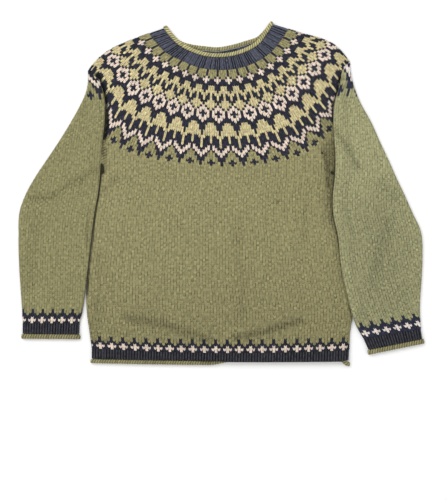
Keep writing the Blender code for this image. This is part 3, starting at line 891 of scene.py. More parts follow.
@dataclass
class Yoke:
    """The round yoke with its stranded pattern.

    Attributes:
        charts: the pattern's bands: first row, stitches in a repeat, chart and
            the column of the chart that the repeats are centred on.
    """

    charts: tuple[tuple, ...] = (
        (0, 8, ZIGZAG_CHART, ZIGZAG_MIDDLE),
        (17, 6, LOZENGE_CHART, 2),
        (32, 5, CROSS_CHART, 1),
    )

    def grid(self, first_row: int, repeat: int, chart: Sequence[str], middle: int) -> StitchGrid:
        """One band of the pattern.

        Args:
            first_row: its lowest row.
            repeat: stitches in a repeat.
            chart: the repeat's rows.
            middle: column of the chart that the repeats are centred on.

        Returns:
            The band's stitches.
        """

        def to_repeat(u: Array) -> Array:
            """Pattern repeat of a stitch number."""
            return FIRST_STITCH + (u - middle - 0.5) / repeat

        def place(u: Array, v: Array) -> Array:
            """Places of the band's stitches."""
            turn, x, y = yoke_turn(to_repeat(u), first_row + v - 0.5)
            return points_at(x, y, stacked_height(turn, relief(x, y), 0.0) + SKIN)

        def yarns(wale: Array, row: Array) -> Array:
            """Yarns from the chart."""
            return chart_letters(chart, wale, row)

        def keep(wale: Array, row: Array) -> Array:
            """Leave out what the sleeve caps stand for.

            Args:
                wale: whole stitch numbers.
                row: whole row numbers of the band.

            Returns:
                Whether each stitch is there.
            """
            level = first_row + row + 0.5
            at = np.mod(to_repeat(wale + 0.5) - FIRST_REPEAT, REPEATS) + FIRST_REPEAT
            at = np.minimum(at, 2 * LAST_REPEAT - at)
            left, right = armhole_repeats(level)
            covered = np.where(at > 0, RIGHT_CAP_ROW, LEFT_CAP_ROW)
            return ((at > left) & (at < right)) | (level > covered)

        rows = len(chart)
        band = (first_row / BAND_ROW, (first_row + rows) / BAND_ROW)
        return StitchGrid(REPEATS * repeat, rows, place, yarns, YOKE_KNITTING, open_top=True,
                          sunk=UNDER_DEPTH if first_row else 0.0, painted_light=YOKE_PAINTED_LIGHT, keep=keep,
                          darker=front_shade, band=band)

    def build(self) -> bpy.types.Object:
        """Join the three bands.

        Returns:
            The yoke.
        """
        meshes = [self.grid(*chart).build() for chart in self.charts]
        return join_meshes("yoke_knit", meshes)


# Painted shade in creases and pockets, painted shadow where one layer goes under another, a few small
# dark spots, and broad soft darkening such as the lower body towards the hem.
CREASES = (
    Crease(4.5, 1.6, ((-248, 236), (-236, 208), (-231, 178), (-230, 142), (-234, 112))),
    Crease(3.5, 0.9, ((-240, 50), (-246, -2), (-253, -38), (-265, -136), (-270, -200))),
    Crease(4.2, 1.8, ((-240, 55), (-238, 44))),
    Crease(3, 0.5, ((238, 228), (232, 204), (225, 178))),
    Crease(3, 0.25, ((225, 168), (223, 142), (225, 106), (227, 76))),
    Crease(3, 0.5, ((227, 70), (226, 34), (222, -4), (223, -42), (232, -84), (258, -234))),
    Crease(22, 0.16, ((232, 178), (224, 142), (222, 106), (222, 34), (222, -40))),
    Crease(7, 0.7, ((239, 232), (236, 205), (228, 175))),
    Crease(9, 0.15, ((222, 100), (219, 34), (216, -4), (218, -42), (227, -84), (246, -180))),
    Crease(1.6, 1.3, ((200.5, 81), (201.5, 80))),
    Crease(2.2, 1.3, ((220, 42), (222, 41))),
    Crease(5, 0.2, ((203, 92), (210, 56), (212, 16))),
    Crease(9, 0.2, ((-187, -247), (-118, -260), (-66, -276), (-30, -290))),
    Crease(7, 0.24, ((27, -287), (81, -277), (106, -269), (157, -253))),
    Crease(4, 0.1, ((168, -16), (163, -105))),
    Crease(2.5, 0.35, ((111, -16), (114, -17))),
    Crease(6, 0.14, ((-236, 8), (-212, 28))),
    Crease(12, 0.07, ((-240, -120), (-252, -300))),
    Crease(14, 0.07, ((30, -60), (40, -250))),
    Crease(170, 0.14, ((-260, -340), (255, -340))),
)
# Painted shade of the sleeves' creases, and broad soft darkening on them.
LEFT_CREASES = (
    Crease(7, 0.16, ((-380, -10), (-340, -8), (-311, 15), (-275, 33), (-252, 50))),
    Crease(2.5, 0.2, ((-267, -34), (-269, -104))),
    Crease(16, 0.08, ((-372, -60), (-385, -180))),
)
RIGHT_CREASES = (
    Crease(7, 0.22, ((228, 124), (252, 91), (272, 54))),
    Crease(10, 0.12, ((318, 22), (345, -8))),
    Crease(12, 0.1, ((330, -60), (300, -180))),
    Crease(90, 0.17, ((310, -70), (330, -120), (330, -220))),
)

# Painted shade of the small folds where the cloth bunches up at the underarms.
GATHERS = (
    Gather(-235, 82, 7, 24, -0.5, 0.8),
    Gather(213, 70, 9, 34, 0.8, 0.22),
)
GATHER_STEP = 5.5         # from one of its small folds to the next
DARKEST = 1.5             # painted shade in a crease grows no darker than this


def crease_shade(points: Array, creases: Sequence[Crease], gathers: Sequence[Gather]) -> Array:
    """Painted shade of the cloth in its creases and bunched places, and painted shadow where it goes
    under another piece.

    Args:
        points: places in millimetres.
        creases: the creases.
        gathers: the bunched places.

    Returns:
        Painted shade to add to the stitches' own.
    """
    x, y = points[:, 0], points[:, 1]
    shade = np.zeros(x.shape)
    for crease in creases:
        distance = line_distance(x, y, crease.line) / crease.half_width
        shade += crease.depth * np.exp(-distance * distance)
    for gather in gathers:
        inside = ((x - gather.x) / gather.half_width)**2 + ((y - gather.y) / gather.half_height)**2
        lines = 0.5 + 0.5 * np.cos(2 * np.pi * (y + gather.lean * x) / GATHER_STEP)
        shade += gather.depth * lines * np.exp(-inside)
    return shade


def front_shade(points: Array) -> Array:
    """Painted shade and shadow on the yoke and the body."""
    return crease_shade(points, CREASES, GATHERS)


# ------------------------------------------------------- body and sleeves

# Flat spans of the tubes from left to right, top to bottom.
CHEST_TOP = Span(-247, 142, 233, 142)
BODY = (
    Span(-243, 44, 235, 44),
    Span(-248, -4, 231, -4),
    Span(-255.5, -52, 234, -52),
    Span(-259.3, -92, 241, -92),
    Span(-264.5, -136, 246, -136),
    Span(-268.3, -172, 251, -172),
    Span(-270, -208, 258, -208),
    Span(-268, -242, 261, -242),
    Span(-263, -278, 256, -280),
    Span(-259, -308, 255, -311.5),
)
HEM = Span(-259, -329, 254, -332)
LEFT_SLEEVE = (
    Span(-267, 244.5, -248, 236),
    Span(-266, 228, -243, 224),
    Span(-270, 204, -236, 204),
    Span(-281, 178, -232, 178),
    Span(-301, 142, -233, 142),
    Span(-323, 106, -237, 106),
    Span(-347, 70, -240, 70),
    Span(-371, 34, -242, 34),
    Span(-391, -2, -246, -2),
    Span(-403, -38, -253, -38),
    Span(-405, -84, -259, -84),
    Span(-404, -136, -265, -136),
    Span(-401, -188, -271, -188),
    Span(-398, -230, -277, -230),
    Span(-397, -258.3, -283, -258.5),
)
LEFT_CUFF = Span(-397, -279, -284, -280)
RIGHT_SLEEVE = (
    Span(238, 252, 257, 261),
    Span(239, 241, 257, 247),
    Span(238, 228, 260, 230),
    Span(232, 204, 268, 204),
    Span(225, 178, 279, 178),
    Span(223, 142, 299, 142),
    Span(225, 106, 315, 106),
    Span(227, 70, 332, 70),
    Span(226, 34, 348, 34),
    Span(222, -4, 365, -2),
    Span(223, -42, 381, -38),
    Span(232, -84, 398, -76),
    Span(237, -134, 401, -120),
    Span(247, -188, 399, -172),
    Span(258, -234, 396, -216),
    Span(268, -262, 396, -240),
    Span(284, -290, 398, -269),
)
RIGHT_CUFF = Span(293, -311, 401, -289)
BODY_STITCHES = 180
ROW_HEIGHT = 4.17
HEM_SAG = 7.5             # the top of the hem ribbing dips this much in the middle
HEM_LOW_SAG = 2.5         # and its bottom this much
TUCK_DEPTH = 1.4          # the body's top edge lies this much under the yoke
TUCK_RUN = 5              # over this distance
YOKE_LAP = 2.0            # and the body reaches this far past the yoke's edge
HEM_SAG_RUN = 70          # the body's rows follow the hem's dip up to this height
HEM_RISE_RUN = 66         # and its front layer is raised up to this one
RIGHT_RISE = 4.5          # by this much on the right, where the curled edge is behind
LEFT_RISE = 1.0           # and by this much on the left
COVER = Window(0.38, 0.08, 1.0, 0.035)   # the raised part of the front


def on_span(ends: Sequence[Array], level: Array) -> tuple[Array, Array]:
    """X and Y at shares of the way from a span's left end to its right end."""
    x_a, y_a, x_b, y_b = ends
    return x_a + (x_b - x_a) * level, y_a + (y_b - y_a) * level


@dataclass
class SpanTube:
    """A flattened tube between flat spans.

    Attributes:
        spans: its spans, top to bottom.
    """

    spans: Sequence[Span]

    def __post_init__(self) -> None:
        """Measure the tube down its middle, from the bottom up."""
        table = np.array(self.spans[::-1], float)
        middle = (table[:, 0:2] + table[:, 2:4]) / 2
        steps = np.hypot(*np.diff(middle, axis=0).T)
        self.marks = np.concatenate(([0.0], np.cumsum(steps)))
        self.table = table
        self.length = float(self.marks[-1])

    def edges(self, climb: Array) -> tuple[Array, ...]:
        """Both ends of the span at heights along the tube.

        Args:
            climb: distances up the tube from its bottom.

        Returns:
            X and Y of the left end and of the right end, and the flat width.
        """
        sides = [hermite(self.marks, self.table[:, k], climb) for k in range(4)]
        return (*sides, np.hypot(sides[2] - sides[0], sides[3] - sides[1]))


@dataclass
class Body:
    """The body tube, in a front half and a rear half."""

    tube: SpanTube = field(default_factory=lambda: SpanTube((CHEST_TOP,) + BODY))
    stitches: int = BODY_STITCHES

    def grid(self, back: bool) -> StitchGrid:
        """Half of the body.

        Args:
            back: the rear half.

        Returns:
            Its stitches.
        """
        half = self.stitches // 2
        rows = int(round(self.tube.length / ROW_HEIGHT))
        row_height = self.tube.length / rows

        def place(u: Array, v: Array) -> Array:
            """Find places on this half of the body.

            Args:
                u: stitch numbers from its side fold.
                v: row numbers up from the hem.

            Returns:
                The places in millimetres.
            """
            climb = v * row_height
            *ends, width = self.tube.edges(climb)
            share = u / half + (1 if back else 0)
            turn = turn_round(share * half_round(width), width)
            level = turn.flat / width
            x, y = on_span(ends, level)
            y = y - HEM_SAG * smoothstep(1 - climb / HEM_SAG_RUN) * arch(level)
            rise = hem_rise(level, RIGHT_RISE, LEFT_RISE) * smoothstep(1 - climb / HEM_RISE_RUN)
            height = stacked_height(turn, relief(x, y) + rise, 0.0)
            above = y - yoke_edge(x)
            sink = TUCK_DEPTH * smoothstep(above / TUCK_RUN + 0.5)
            return points_at(x, y, height + np.where(turn.front, -sink, sink) + SKIN)

        def yarns(wale: Array, row: Array) -> Array:
            """The edge band, then plain olive."""
            column = wale + HEM_SHIFT + (half if back else 0)
            return chart_letters(HEM_CHART, column, row)

        def keep(wale: Array, row: Array) -> Array:
            """Leave out the stitches above the yoke's edge."""
            points = place(wale + 0.5, row)
            return points[:, 1] < yoke_edge(points[:, 0]) + YOKE_LAP

        return StitchGrid(half, rows, place, yarns, keep=keep, darker=front_shade)

    def build(self) -> list[bpy.types.Object]:
        """Both halves."""
        front = join_meshes("body_front_knit", [self.grid(False).build()])
        back = join_meshes("body_back_knit", [self.grid(True).build()])
        return [front, back]


def yoke_edge(x: Array) -> Array:
    """Y of the yoke's lowest row at places across the garment."""
    repeats = np.linspace(FIRST_REPEAT + EDGE_INSET, LAST_REPEAT - EDGE_INSET, EDGE_STEPS)
    edge_x, edge_y = yoke_plan(repeats, np.zeros(EDGE_STEPS), np.zeros(EDGE_STEPS, bool))
    return np.interp(x, edge_x, edge_y)


def arch(level: Array) -> Array:
    """How far an edge dips, from 0 at its ends to 1 in its middle."""
    return 4 * level * (1 - level)


def hem_rise(level: Array, right_rise: Array, left_rise: Array) -> Array:
    """Height that the front hem gains over the curled edges beneath it."""
    return left_rise + (right_rise - left_rise) * within(COVER, level)


# How far a sleeve's inner edge lies up on the body: heights along Y.
LIFT_HEIGHT = 7.2
LIFT_FLAT = 10            # fully lifted this far from the inner edge
LIFT_RUN = 38             # and down on the surface this far from it
LEFT_LIFT = Lift(236, 218, 98, 56)
RIGHT_LIFT = Lift(240, 222, -240, -272)
NARROW_SLEEVE = 60        # spans under this width are lifted over less of it
SEAM_PLACE = 25           # a sleeve's seam, on the rear layer from the inner edge
SPARE_WALES = 4           # columns beyond the widest span; those past the seam are cut
SPARE_LEAD = 3            # of which so many lie before the seam
INSIDE = 0.1              # a column is there if it reaches this far past the seam


@dataclass
class Sleeve:
    """A sleeve with its cap, its edge band and its pattern rows.

    Attributes:
        name: left or right.
        tube: its spans.
        lift: where its inner edge lies up on the body.
        inner_left: whether the inner edge is its left side fold.
        widths: width of a stitch at heights along Y.
        starts: distance of the first stitch column from the inner edge's
            fold at heights along Y.
        tip_column: column of the cap that a zigzag's tip stands on.
        cap_rows: heights of the cap's rows of the yoke pattern, lowest first.
        edge_chart: the edge band at the cuff.
        edge_shift: stitches that it is moved away from the first column.
        creases: soft painted shade of its creases.
        painted_light: painted light and shade, how much lighter or darker the yarn is coloured there,
            in red, green and blue.
    """

    name: str
    tube: SpanTube
    lift: Lift
    inner_left: bool
    widths: Table
    starts: Table
    tip_column: int
    cap_rows: Sequence[float]
    edge_chart: Sequence[str]
    edge_shift: int
    creases: Sequence[Crease]
    painted_light: Color

    def table(self, pairs: Table, y: Array) -> Array:
        """A value at heights along Y, from a table that runs top down."""
        heights = np.array([pair[0] for pair in pairs[::-1]], float)
        values = np.array([pair[1] for pair in pairs[::-1]], float)
        return hermite(heights, values, y)

    def climbs(self) -> Array:
        """Distances up the tube of the row edges."""
        plain = self.tube.length - sum(self.cap_rows)
        count = int(round(plain / ROW_HEIGHT))
        low = np.linspace(0, plain, count + 1)
        high = plain + np.cumsum(self.cap_rows)
        return np.concatenate((low, high))

    def grid(self) -> StitchGrid:
        """The sleeve's stitches, from the cuff up.

        Returns:
            Its stitches.
        """
        climbs = self.climbs()
        rows = len(climbs) - 1
        numbers = np.arange(rows + 1)
        widest = max(s.x_b - s.x_a for s in self.tube.spans)
        narrowest = min(width for _, width in self.widths)
        around = 2 * half_round(np.float64(widest)) + 2 * SEAM_PLACE
        wales = int(math.ceil(around / narrowest)) + SPARE_WALES
        lead = int(math.ceil(SEAM_PLACE / narrowest)) + SPARE_LEAD

        def lie(u: Array, v: Array) -> tuple:
            """Find stitch columns on the tube.

            Args:
                u: stitch numbers.
                v: row numbers.

            Returns:
                Their surface lengths, the lengths at the seam, and the ends and
                widths of the spans there.
            """
            *ends, width = self.tube.edges(np.interp(v, numbers, climbs))
            middle = (ends[1] + ends[3]) / 2
            size = self.table(self.widths, middle)
            start = self.table(self.starts, middle)
            half = half_round(width)
            if self.inner_left:
                s = start + (u - lead) * size
                low, high = -SEAM_PLACE + 0 * half, 2 * half - SEAM_PLACE
            else:
                s = half - start - (wales - lead - u) * size
                low, high = SEAM_PLACE - half, half + SEAM_PLACE
            return s, low, high, ends, width

        def place(u: Array, v: Array) -> Array:
            """Find places on the sleeve.

            Args:
                u: stitch numbers.
                v: row numbers.

            Returns:
                The places in millimetres.
            """
            s, low, high, ends, width = lie(u, v)
            turn = turn_round(np.clip(s, low, high - 1e-6), width)
            x, y = on_span(ends, turn.flat / width)
            inward = turn.flat if self.inner_left else width - turn.flat
            swell = relief(x, y) * np.sin(np.pi * np.clip(inward / width, 0, 1))
            height = stacked_height(turn, swell, 0.0) + self.raise_at(y, inward, width)
            return points_at(x, y, height + SKIN)

        def yarns(wale: Array, row: Array) -> Array:
            """Work the edge band at the cuff, the pattern on the cap, olive between.

            Args:
                wale: whole stitch numbers.
                row: whole row numbers.

            Returns:
                The letter of each stitch's yarn.
            """
            letters = chart_letters(self.edge_chart, wale - lead - self.edge_shift, row)
            column = wale - lead if self.inner_left else wales - lead - 1 - wale
            cap_row = row - (rows - len(self.cap_rows))
            cap = chart_letters(ZIGZAG_CHART, column - self.tip_column + ZIGZAG_MIDDLE, cap_row)
            return np.where(cap_row >= 0, cap, letters)

        def keep(wale: Array, row: Array) -> Array:
            """Leave out the columns past the sleeve's seam."""
            left, low, high, *_ = lie(wale + INSIDE, row + 0.5)
            right = lie(wale + 1 - INSIDE, row + 0.5)[0]
            return (right > low) & (left < high)

        return StitchGrid(wales, rows, place, yarns, keep=keep, sunk_top=UNDER_DEPTH,
                          painted_light=self.painted_light, darker=self.shade)

    def raise_at(self, y: Array, inward: Array, width: Array) -> Array:
        """Height of the sleeve over the surface.

        Args:
            y: places along the garment.
            inward: flat distances from the inner edge.
            width: flat width of the sleeve there.

        Returns:
            The lift of both layers.
        """
        lift = self.lift
        upper = smoothstep((lift.top - y) / (lift.top - lift.full_top))
        lower = smoothstep((y - lift.bottom) / (lift.full_bottom - lift.bottom))
        narrow = np.minimum(1.0, width / NARROW_SLEEVE)
        fade = 1 - smoothstep((inward - LIFT_FLAT * narrow) / ((LIFT_RUN - LIFT_FLAT) * narrow))
        return LIFT_HEIGHT * upper * lower * fade

    def shade(self, points: Array) -> Array:
        """Painted shade at the sleeve's own creases."""
        return crease_shade(points, self.creases, ())

    def build(self) -> bpy.types.Object:
        """The sleeve."""
        return join_meshes(f"sleeve_{self.name}_knit", [self.grid().build()])


# ------------------------------------------------- ribbed bands, curled edges

SEAM = 0.3                # between neighbouring pieces
ROLL_HALF_WIDTH = 4.5     # the curled edge, measured flat
CUFF_ROLL_HALF_WIDTH = 5.3
ROLL_HALF_HEIGHT = 2.5    # the curled edge, measured up
ROLL_FRONT_MID = 3 * ROLL_HALF_HEIGHT + LAYER_GAP
ROLL_INSET = 2.0          # its path stays this far inside the side folds
FRONT_MID = 1.5 * WALL + LAYER_GAP
FRONT_STEP = ROLL_FRONT_MID - FRONT_MID     # a band climbs this much to its curled edge
BACK_STEP = ROLL_HALF_HEIGHT - WALL / 2     # and on the rear layer this much
HEM_DROP = 2.5            # the front band covers its curled edge on the right
ROLL_TUCK = 6.0           # and the curled edge is tucked up behind it
TUCK = Window(0.46, 0.08, 0.992, 0.022)     # along this part of the hem
BACK_PULL = ROLL_TUCK + 4 * SEAM            # the rear band is pulled up clear of it
ROLL_TIP = 3.0            # it peeps out at the right side fold
TIP_FROM = 0.972          # from this share of the hem
HEM_COVER_RISE = 7.4      # height that the front band gains over the tucked edge
NECK_RISE = 1.0           # the front neck edge, above the front layer
NECK_LAP = 1.5            # rows of the neckband that lie under the yoke
STACKED_APART = 12        # front and back neck edges nearer than this are stacked
STACKED_RUN = 5
CUFF_RIBS = 44            # each a raised and a sunk column of stitches
HEM_RIBS = 186
NECK_STITCHES = 8 * REPEATS
NECK_EDGE_STEPS = 90      # places along the paths of the curled edges
HEM_EDGE_STEPS = 160
CUFF_EDGE_STEPS = 40
NECK_EDGE_PAINTED_LIGHT = 1.9    # painted light: the front of the neck's curled edge is coloured lighter, where it catches more light
# Painted light: the navy of the ribbed hem and cuff bands is coloured lighter, beside the painted
# shade of their grooves.
HEM_PAINTED_LIGHT = (1.5, 1.45, 1.15)
NECK_PAINTED_LIGHT = (3.0, 3.1, 2.7)  # painted light: the neckband's open ribs are coloured lighter, where they catch more light


def navy_yarn(wale: Array, row: Array) -> Array:
    """All navy."""
    return np.full(wale.shape, Yarn.NAVY.value)


def neck_front_rise(x: Array, y: Array, x_back: Array, y_back: Array) -> Array:
    """Height that the front neck edge gains, more where it lies on the back one."""
    apart = np.hypot(x - x_back, y - y_back)
    stacked = smoothstep((STACKED_APART - apart) / STACKED_RUN)
    return NECK_RISE + (FRONT_STEP - NECK_RISE) * stacked


def band_round(top: Span, low: Span, share: Array) -> tuple[Array, ...]:
    """A round of the band between the knitting above it and its lowest round.

    Args:
        top: the last round above the band.
        low: the band's lowest round.
        share: 0 at the top of the band and 1 at its bottom.

    Returns:
        X and Y of the left end and of the right end, and the flat width.
    """
    x_a = top.x_a + (low.x_a - top.x_a) * share
    x_b = top.x_b + (low.x_b - top.x_b) * share
    y_a = top.y_a - SEAM + (low.y_a - top.y_a + SEAM) * share
    y_b = top.y_b - SEAM + (low.y_b - top.y_b + SEAM) * share
    return x_a, y_a, x_b, y_b, np.hypot(x_b - x_a, y_b - y_a)


@dataclass
class NeckBand:
    """The ribbed neckband, from the yoke to its curled edge.

    Attributes:
        rows: its rows of stitches.
    """

    rows: int = 7

    def place(self, u: Array, v: Array) -> Array:
        """Find places on the band.

        Args:
            u: stitch numbers round it.
            v: row numbers, up from its lowest row.

        Returns:
            The places in millimetres.
        """
        share = v / self.rows
        first = BAND_ROW - NECK_LAP
        level = first + (YOKE_TOP_ROW - first) * share
        turn, x, y = yoke_turn(FIRST_STITCH + u * REPEATS / NECK_STITCHES, level)
        width = np.interp(level, WIDTH_ROWS, WIDTHS)
        own = FIRST_REPEAT + (LAST_REPEAT - FIRST_REPEAT) * turn.flat / width
        front = yoke_plan(own, level, np.zeros(u.shape, bool))
        back = yoke_plan(own, level, np.ones(u.shape, bool))
        rise = neck_front_rise(*front, *back) * share
        return points_at(x, y, stacked_height(turn, relief(x, y) * (1 - share) + rise, 0.0) + SKIN)

    def build(self) -> bpy.types.Object:
        """The band."""
        grid = StitchGrid(NECK_STITCHES, self.rows, self.place, navy_yarn, OPEN_RIBBED,
                          sunk=UNDER_DEPTH, painted_light=NECK_PAINTED_LIGHT)
        return join_meshes("neck_band_knit", [grid.build()])


@dataclass
class HemBand:
    """The ribbed band at the hem; its front half covers the curled edge.

    Attributes:
        rows: its rows of stitches.
    """

    rows: int = 4

    def place(self, u: Array, v: Array) -> Array:
        """Find places on the band.

        Args:
            u: stitch numbers round it.
            v: row numbers, up from its lowest row.

        Returns:
            The places in millimetres.
        """
        share = 1 - v / self.rows
        *ends, width = band_round(BODY[-1], HEM, share)
        turn = turn_round(u / HEM_RIBS * half_round(width), width)
        level = turn.flat / width
        x, y = on_span(ends, level)
        y = y - (HEM_SAG + (HEM_LOW_SAG - HEM_SAG) * share) * arch(level)
        tuck = within(TUCK, level)
        y = y + np.where(turn.front, -HEM_DROP * tuck, BACK_PULL * np.sqrt(tuck)) * share
        left = LEFT_RISE + (FRONT_STEP - LEFT_RISE) * share
        right = RIGHT_RISE + (HEM_COVER_RISE - RIGHT_RISE) * np.minimum(share * 2, 1.0)
        rise = relief(x, y) + hem_rise(level, right, left)
        return points_at(x, y, stacked_height(turn, rise, BACK_STEP * share) + SKIN)

    def build(self) -> bpy.types.Object:
        """The band."""
        grid = StitchGrid(2 * HEM_RIBS, self.rows, self.place, navy_yarn, RIBBED, painted_light=HEM_PAINTED_LIGHT)
        return join_meshes("hem_band_knit", [grid.build()])


@dataclass
class CuffBand:
    """The ribbed band at a cuff.

    Attributes:
        name: left or right.
        top: the sleeve's lowest span.
        bottom: the band's lowest span.
        rows: its rows of stitches.
    """

    name: str
    top: Span
    bottom: Span
    rows: int = 5

    def place(self, u: Array, v: Array) -> Array:
        """Find places on the band.

        Args:
            u: stitch numbers round it.
            v: row numbers, up from its lowest row.

        Returns:
            The places in millimetres.
        """
        share = 1 - v / self.rows
        *ends, width = band_round(self.top, self.bottom, share)
        turn = turn_round(u / CUFF_RIBS * half_round(width), width)
        x, y = on_span(ends, turn.flat / width)
        return points_at(x, y, stacked_height(turn, FRONT_STEP * share, BACK_STEP * share) + SKIN)

    def build(self) -> bpy.types.Object:
        """The band."""
        grid = StitchGrid(2 * CUFF_RIBS, self.rows, self.place, navy_yarn, RIBBED, painted_light=HEM_PAINTED_LIGHT)
        return join_meshes(f"cuff_band_{self.name}_knit", [grid.build()])


@dataclass
class CurledEdge:
    """Stockinette that has curled up into a cord round an opening.

    Attributes:
        name: what the piece is called.
        front, back: X, Y and Z along the front and the rear path.
        half_width: half its flat width.
        bump_length: length of a purl bump along the cord.
        bumps_round: rows of bumps round it.
        slant: how far the rows of bumps wind round it in one bump length.
        bump_height: depth of the hollows between the bumps at its sides.
        bump_rise: share of that depth on its top and underside.
        wave_share: weight of the bumps along the cord, beside those round it.
        shade: how dark the painted shade in the hollows is.
        painted_lightness, back_painted_lightness: painted light, how much lighter the front and the
        rear part are coloured.
        front_share: share of its length that is the front part.
        points_a_bump: faces along a bump.
        sides: faces round the cord.
        end_steps: faces round a turned end.
    """

    name: str
    front: Array
    back: Array
    half_width: float = ROLL_HALF_WIDTH
    bump_length: float = 5.0
    bumps_round: int = 4
    slant: float = 0.5
    bump_height: float = 1.2
    bump_rise: float = 0.6
    wave_share: float = 0.85
    shade: float = 1.05
    painted_lightness: float = 1.05
    back_painted_lightness: float = 1.3
    front_share: float = 0.5
    points_a_bump: int = 4
    sides: int = 16
    end_steps: int = 8

    def turned_end(self, top: Array, low: Array, inner: Array) -> Array:
        """Points round a turned end of the cord, from its top down.

        Args:
            top: end of the front path.
            low: end of the rear path, under it.
            inner: the front path's last point but one.

        Returns:
            The points between the two ends.
        """
        outward = (top - inner)[:2]
        outward = outward / np.linalg.norm(outward)
        radius = (top[2] - low[2]) / 2
        angle = np.pi * (0.5 - np.arange(1, self.end_steps) / self.end_steps)
        plan = top[:2] + np.outer(radius * np.cos(angle), outward)
        return points_at(plan[:, 0], plan[:, 1], low[2] + radius * (1 + np.sin(angle)))

    def centre_line(self) -> tuple[Array, Array]:
        """The closed path at even steps, and its flat side vectors.

        Returns:
            Points, and vectors about square to the path that lie flat.
        """
        front, back = self.front, self.back[::-1]
        right = self.turned_end(front[-1], back[0], front[-2])
        left = self.turned_end(front[0], back[-1], front[1])[::-1]
        line = np.vstack((front, right, back, left, front[:1]))
        sides = []
        for path, flip in ((front, 1), (back, -1)):
            ahead = np.gradient(path[:, :2], axis=0)
            sides.append(flip * np.stack((-ahead[:, 1], ahead[:, 0]), axis=1))
            sides[-1] /= np.linalg.norm(sides[-1], axis=1)[:, None]
        turns = (np.tile(sides[0][-1], (len(right), 1)), np.tile(sides[0][0], (len(left) + 1, 1)))
        flat = np.vstack((sides[0], turns[0], sides[1], turns[1]))
        marks = np.concatenate(([0], np.cumsum(np.linalg.norm(np.diff(line, axis=0), axis=1))))
        bumps = 2 * int(round(marks[-1] / self.bump_length / 2))
        at = np.linspace(0, marks[-1], bumps * self.points_a_bump + 1)[:-1]
        points = np.stack([np.interp(at, marks, line[:, k]) for k in range(3)], axis=1)
        side = np.stack([np.interp(at, marks, flat[:, k]) for k in range(2)] + [0 * at], axis=1)
        return points, side

    def build(self) -> bpy.types.Object:
        """Sweep the bumpy cord along its path.

        Returns:
            The curled edge.
        """
        points, side = self.centre_line()
        count = len(points)
        ahead = np.roll(points, -1, axis=0) - np.roll(points, 1, axis=0)
        ahead /= np.linalg.norm(ahead, axis=1)[:, None]
        side -= ahead * (side * ahead).sum(axis=1)[:, None]
        side /= np.linalg.norm(side, axis=1)[:, None]
        up = np.cross(ahead, side)

        grid = flat_grid(count, self.sides, count, 1.0)
        mesh, along, round_share, corners = flat_mesh("cord", grid)
        step = np.rint(along).astype(int) % count
        angle = 2 * np.pi * round_share
        phase = np.rint(along) / self.points_a_bump
        winding = round_share * self.bumps_round
        wave = 0.5 + 0.5 * np.cos(2 * np.pi * (phase + winding * self.slant))
        ridge = 0.5 + 0.5 * np.cos(2 * np.pi * (winding + phase * self.slant))
        dip = 1 - self.wave_share * wave - (1 - self.wave_share) * ridge
        wide = self.half_width - self.bump_height * dip
        high = ROLL_HALF_HEIGHT - self.bump_rise * self.bump_height * dip
        places = (points[step] + side[step] * (np.cos(angle) * wide)[:, None]
                  + up[step] * (np.sin(angle) * high)[:, None])
        colors = self.dye(along[corners].mean(axis=1), count)
        spread = np.stack((along[corners] / count, round_share[corners]), axis=2)
        # Painted shade in the dips between the bumps.
        clothe(mesh, places, self.shade * dip, colors, spread)
        return join_meshes(self.name, [mesh])

    def dye(self, along: Array, count: int) -> Array:
        """Colours of the faces, each bump a little different, the front and rear parts with their
        painted light.

        Args:
            along: place of every face along the cord, in steps.
            count: steps along the whole cord.

        Returns:
            Red, green, blue and 1.
        """
        random = np.random.default_rng(TONE_SEED)
        tones = random.normal(0.0, YARN_TWEED[Yarn.OLIVE], count // self.points_a_bump + 2)
        painted_lightness = np.where(along < count * self.front_share, self.painted_lightness, self.back_painted_lightness)
        level = painted_lightness * (1 + tones[(along / self.points_a_bump).astype(int)])
        colors = np.ones((len(along), 4))
        colors[:, :3] = np.array(YARN_COLORS[Yarn.OLIVE]) * level[:, None]
        return colors


def inset_path(x: Array, y: Array) -> tuple[Array, Array]:
    """Cut the ends of a flat path back by the curled edge's inset."""
    marks = np.concatenate(([0], np.cumsum(np.hypot(np.diff(x), np.diff(y)))))
    at = np.linspace(ROLL_INSET, marks[-1] - ROLL_INSET, len(x))
    return np.interp(at, marks, x), np.interp(at, marks, y)


def neck_path(back: bool) -> tuple[Array, Array]:
    """Path of the neck's curled edge, square above the neckband's edge.

    Args:
        back: the rear path.

    Returns:
        X and Y of the path.
    """
    repeats = np.linspace(FIRST_REPEAT, LAST_REPEAT, NECK_EDGE_STEPS)
    top = np.full(NECK_EDGE_STEPS, float(YOKE_TOP_ROW))
    x, y = yoke_plan(repeats, top, np.full(NECK_EDGE_STEPS, back))
    run_x, run_y = np.gradient(x), np.gradient(y)
    away = (ROLL_HALF_WIDTH + SEAM) / np.hypot(run_x, run_y)
    return inset_path(x - run_y * away, y + run_x * away)


def neck_edge() -> CurledEdge:
    """The curled edge of the neck; its back part lies above the front part."""
    x, y = neck_path(False)
    x_back, y_back = neck_path(True)
    z = FRONT_MID + neck_front_rise(x, y, x_back, y_back)
    low = points_at(x_back, y_back, ROLL_HALF_HEIGHT)
    return CurledEdge("neck_edge_knit", points_at(x, y, z), low, painted_lightness=NECK_EDGE_PAINTED_LIGHT)


def edge_below(name: str, x: Array, y: Array, half_width: float) -> CurledEdge:
    """A curled edge along a path whose front part lies straight above its rear part."""
    x, y = inset_path(x, y)
    front, back = (points_at(x, y, z) for z in (ROLL_FRONT_MID, ROLL_HALF_HEIGHT))
    return CurledEdge(name, front, back, half_width)


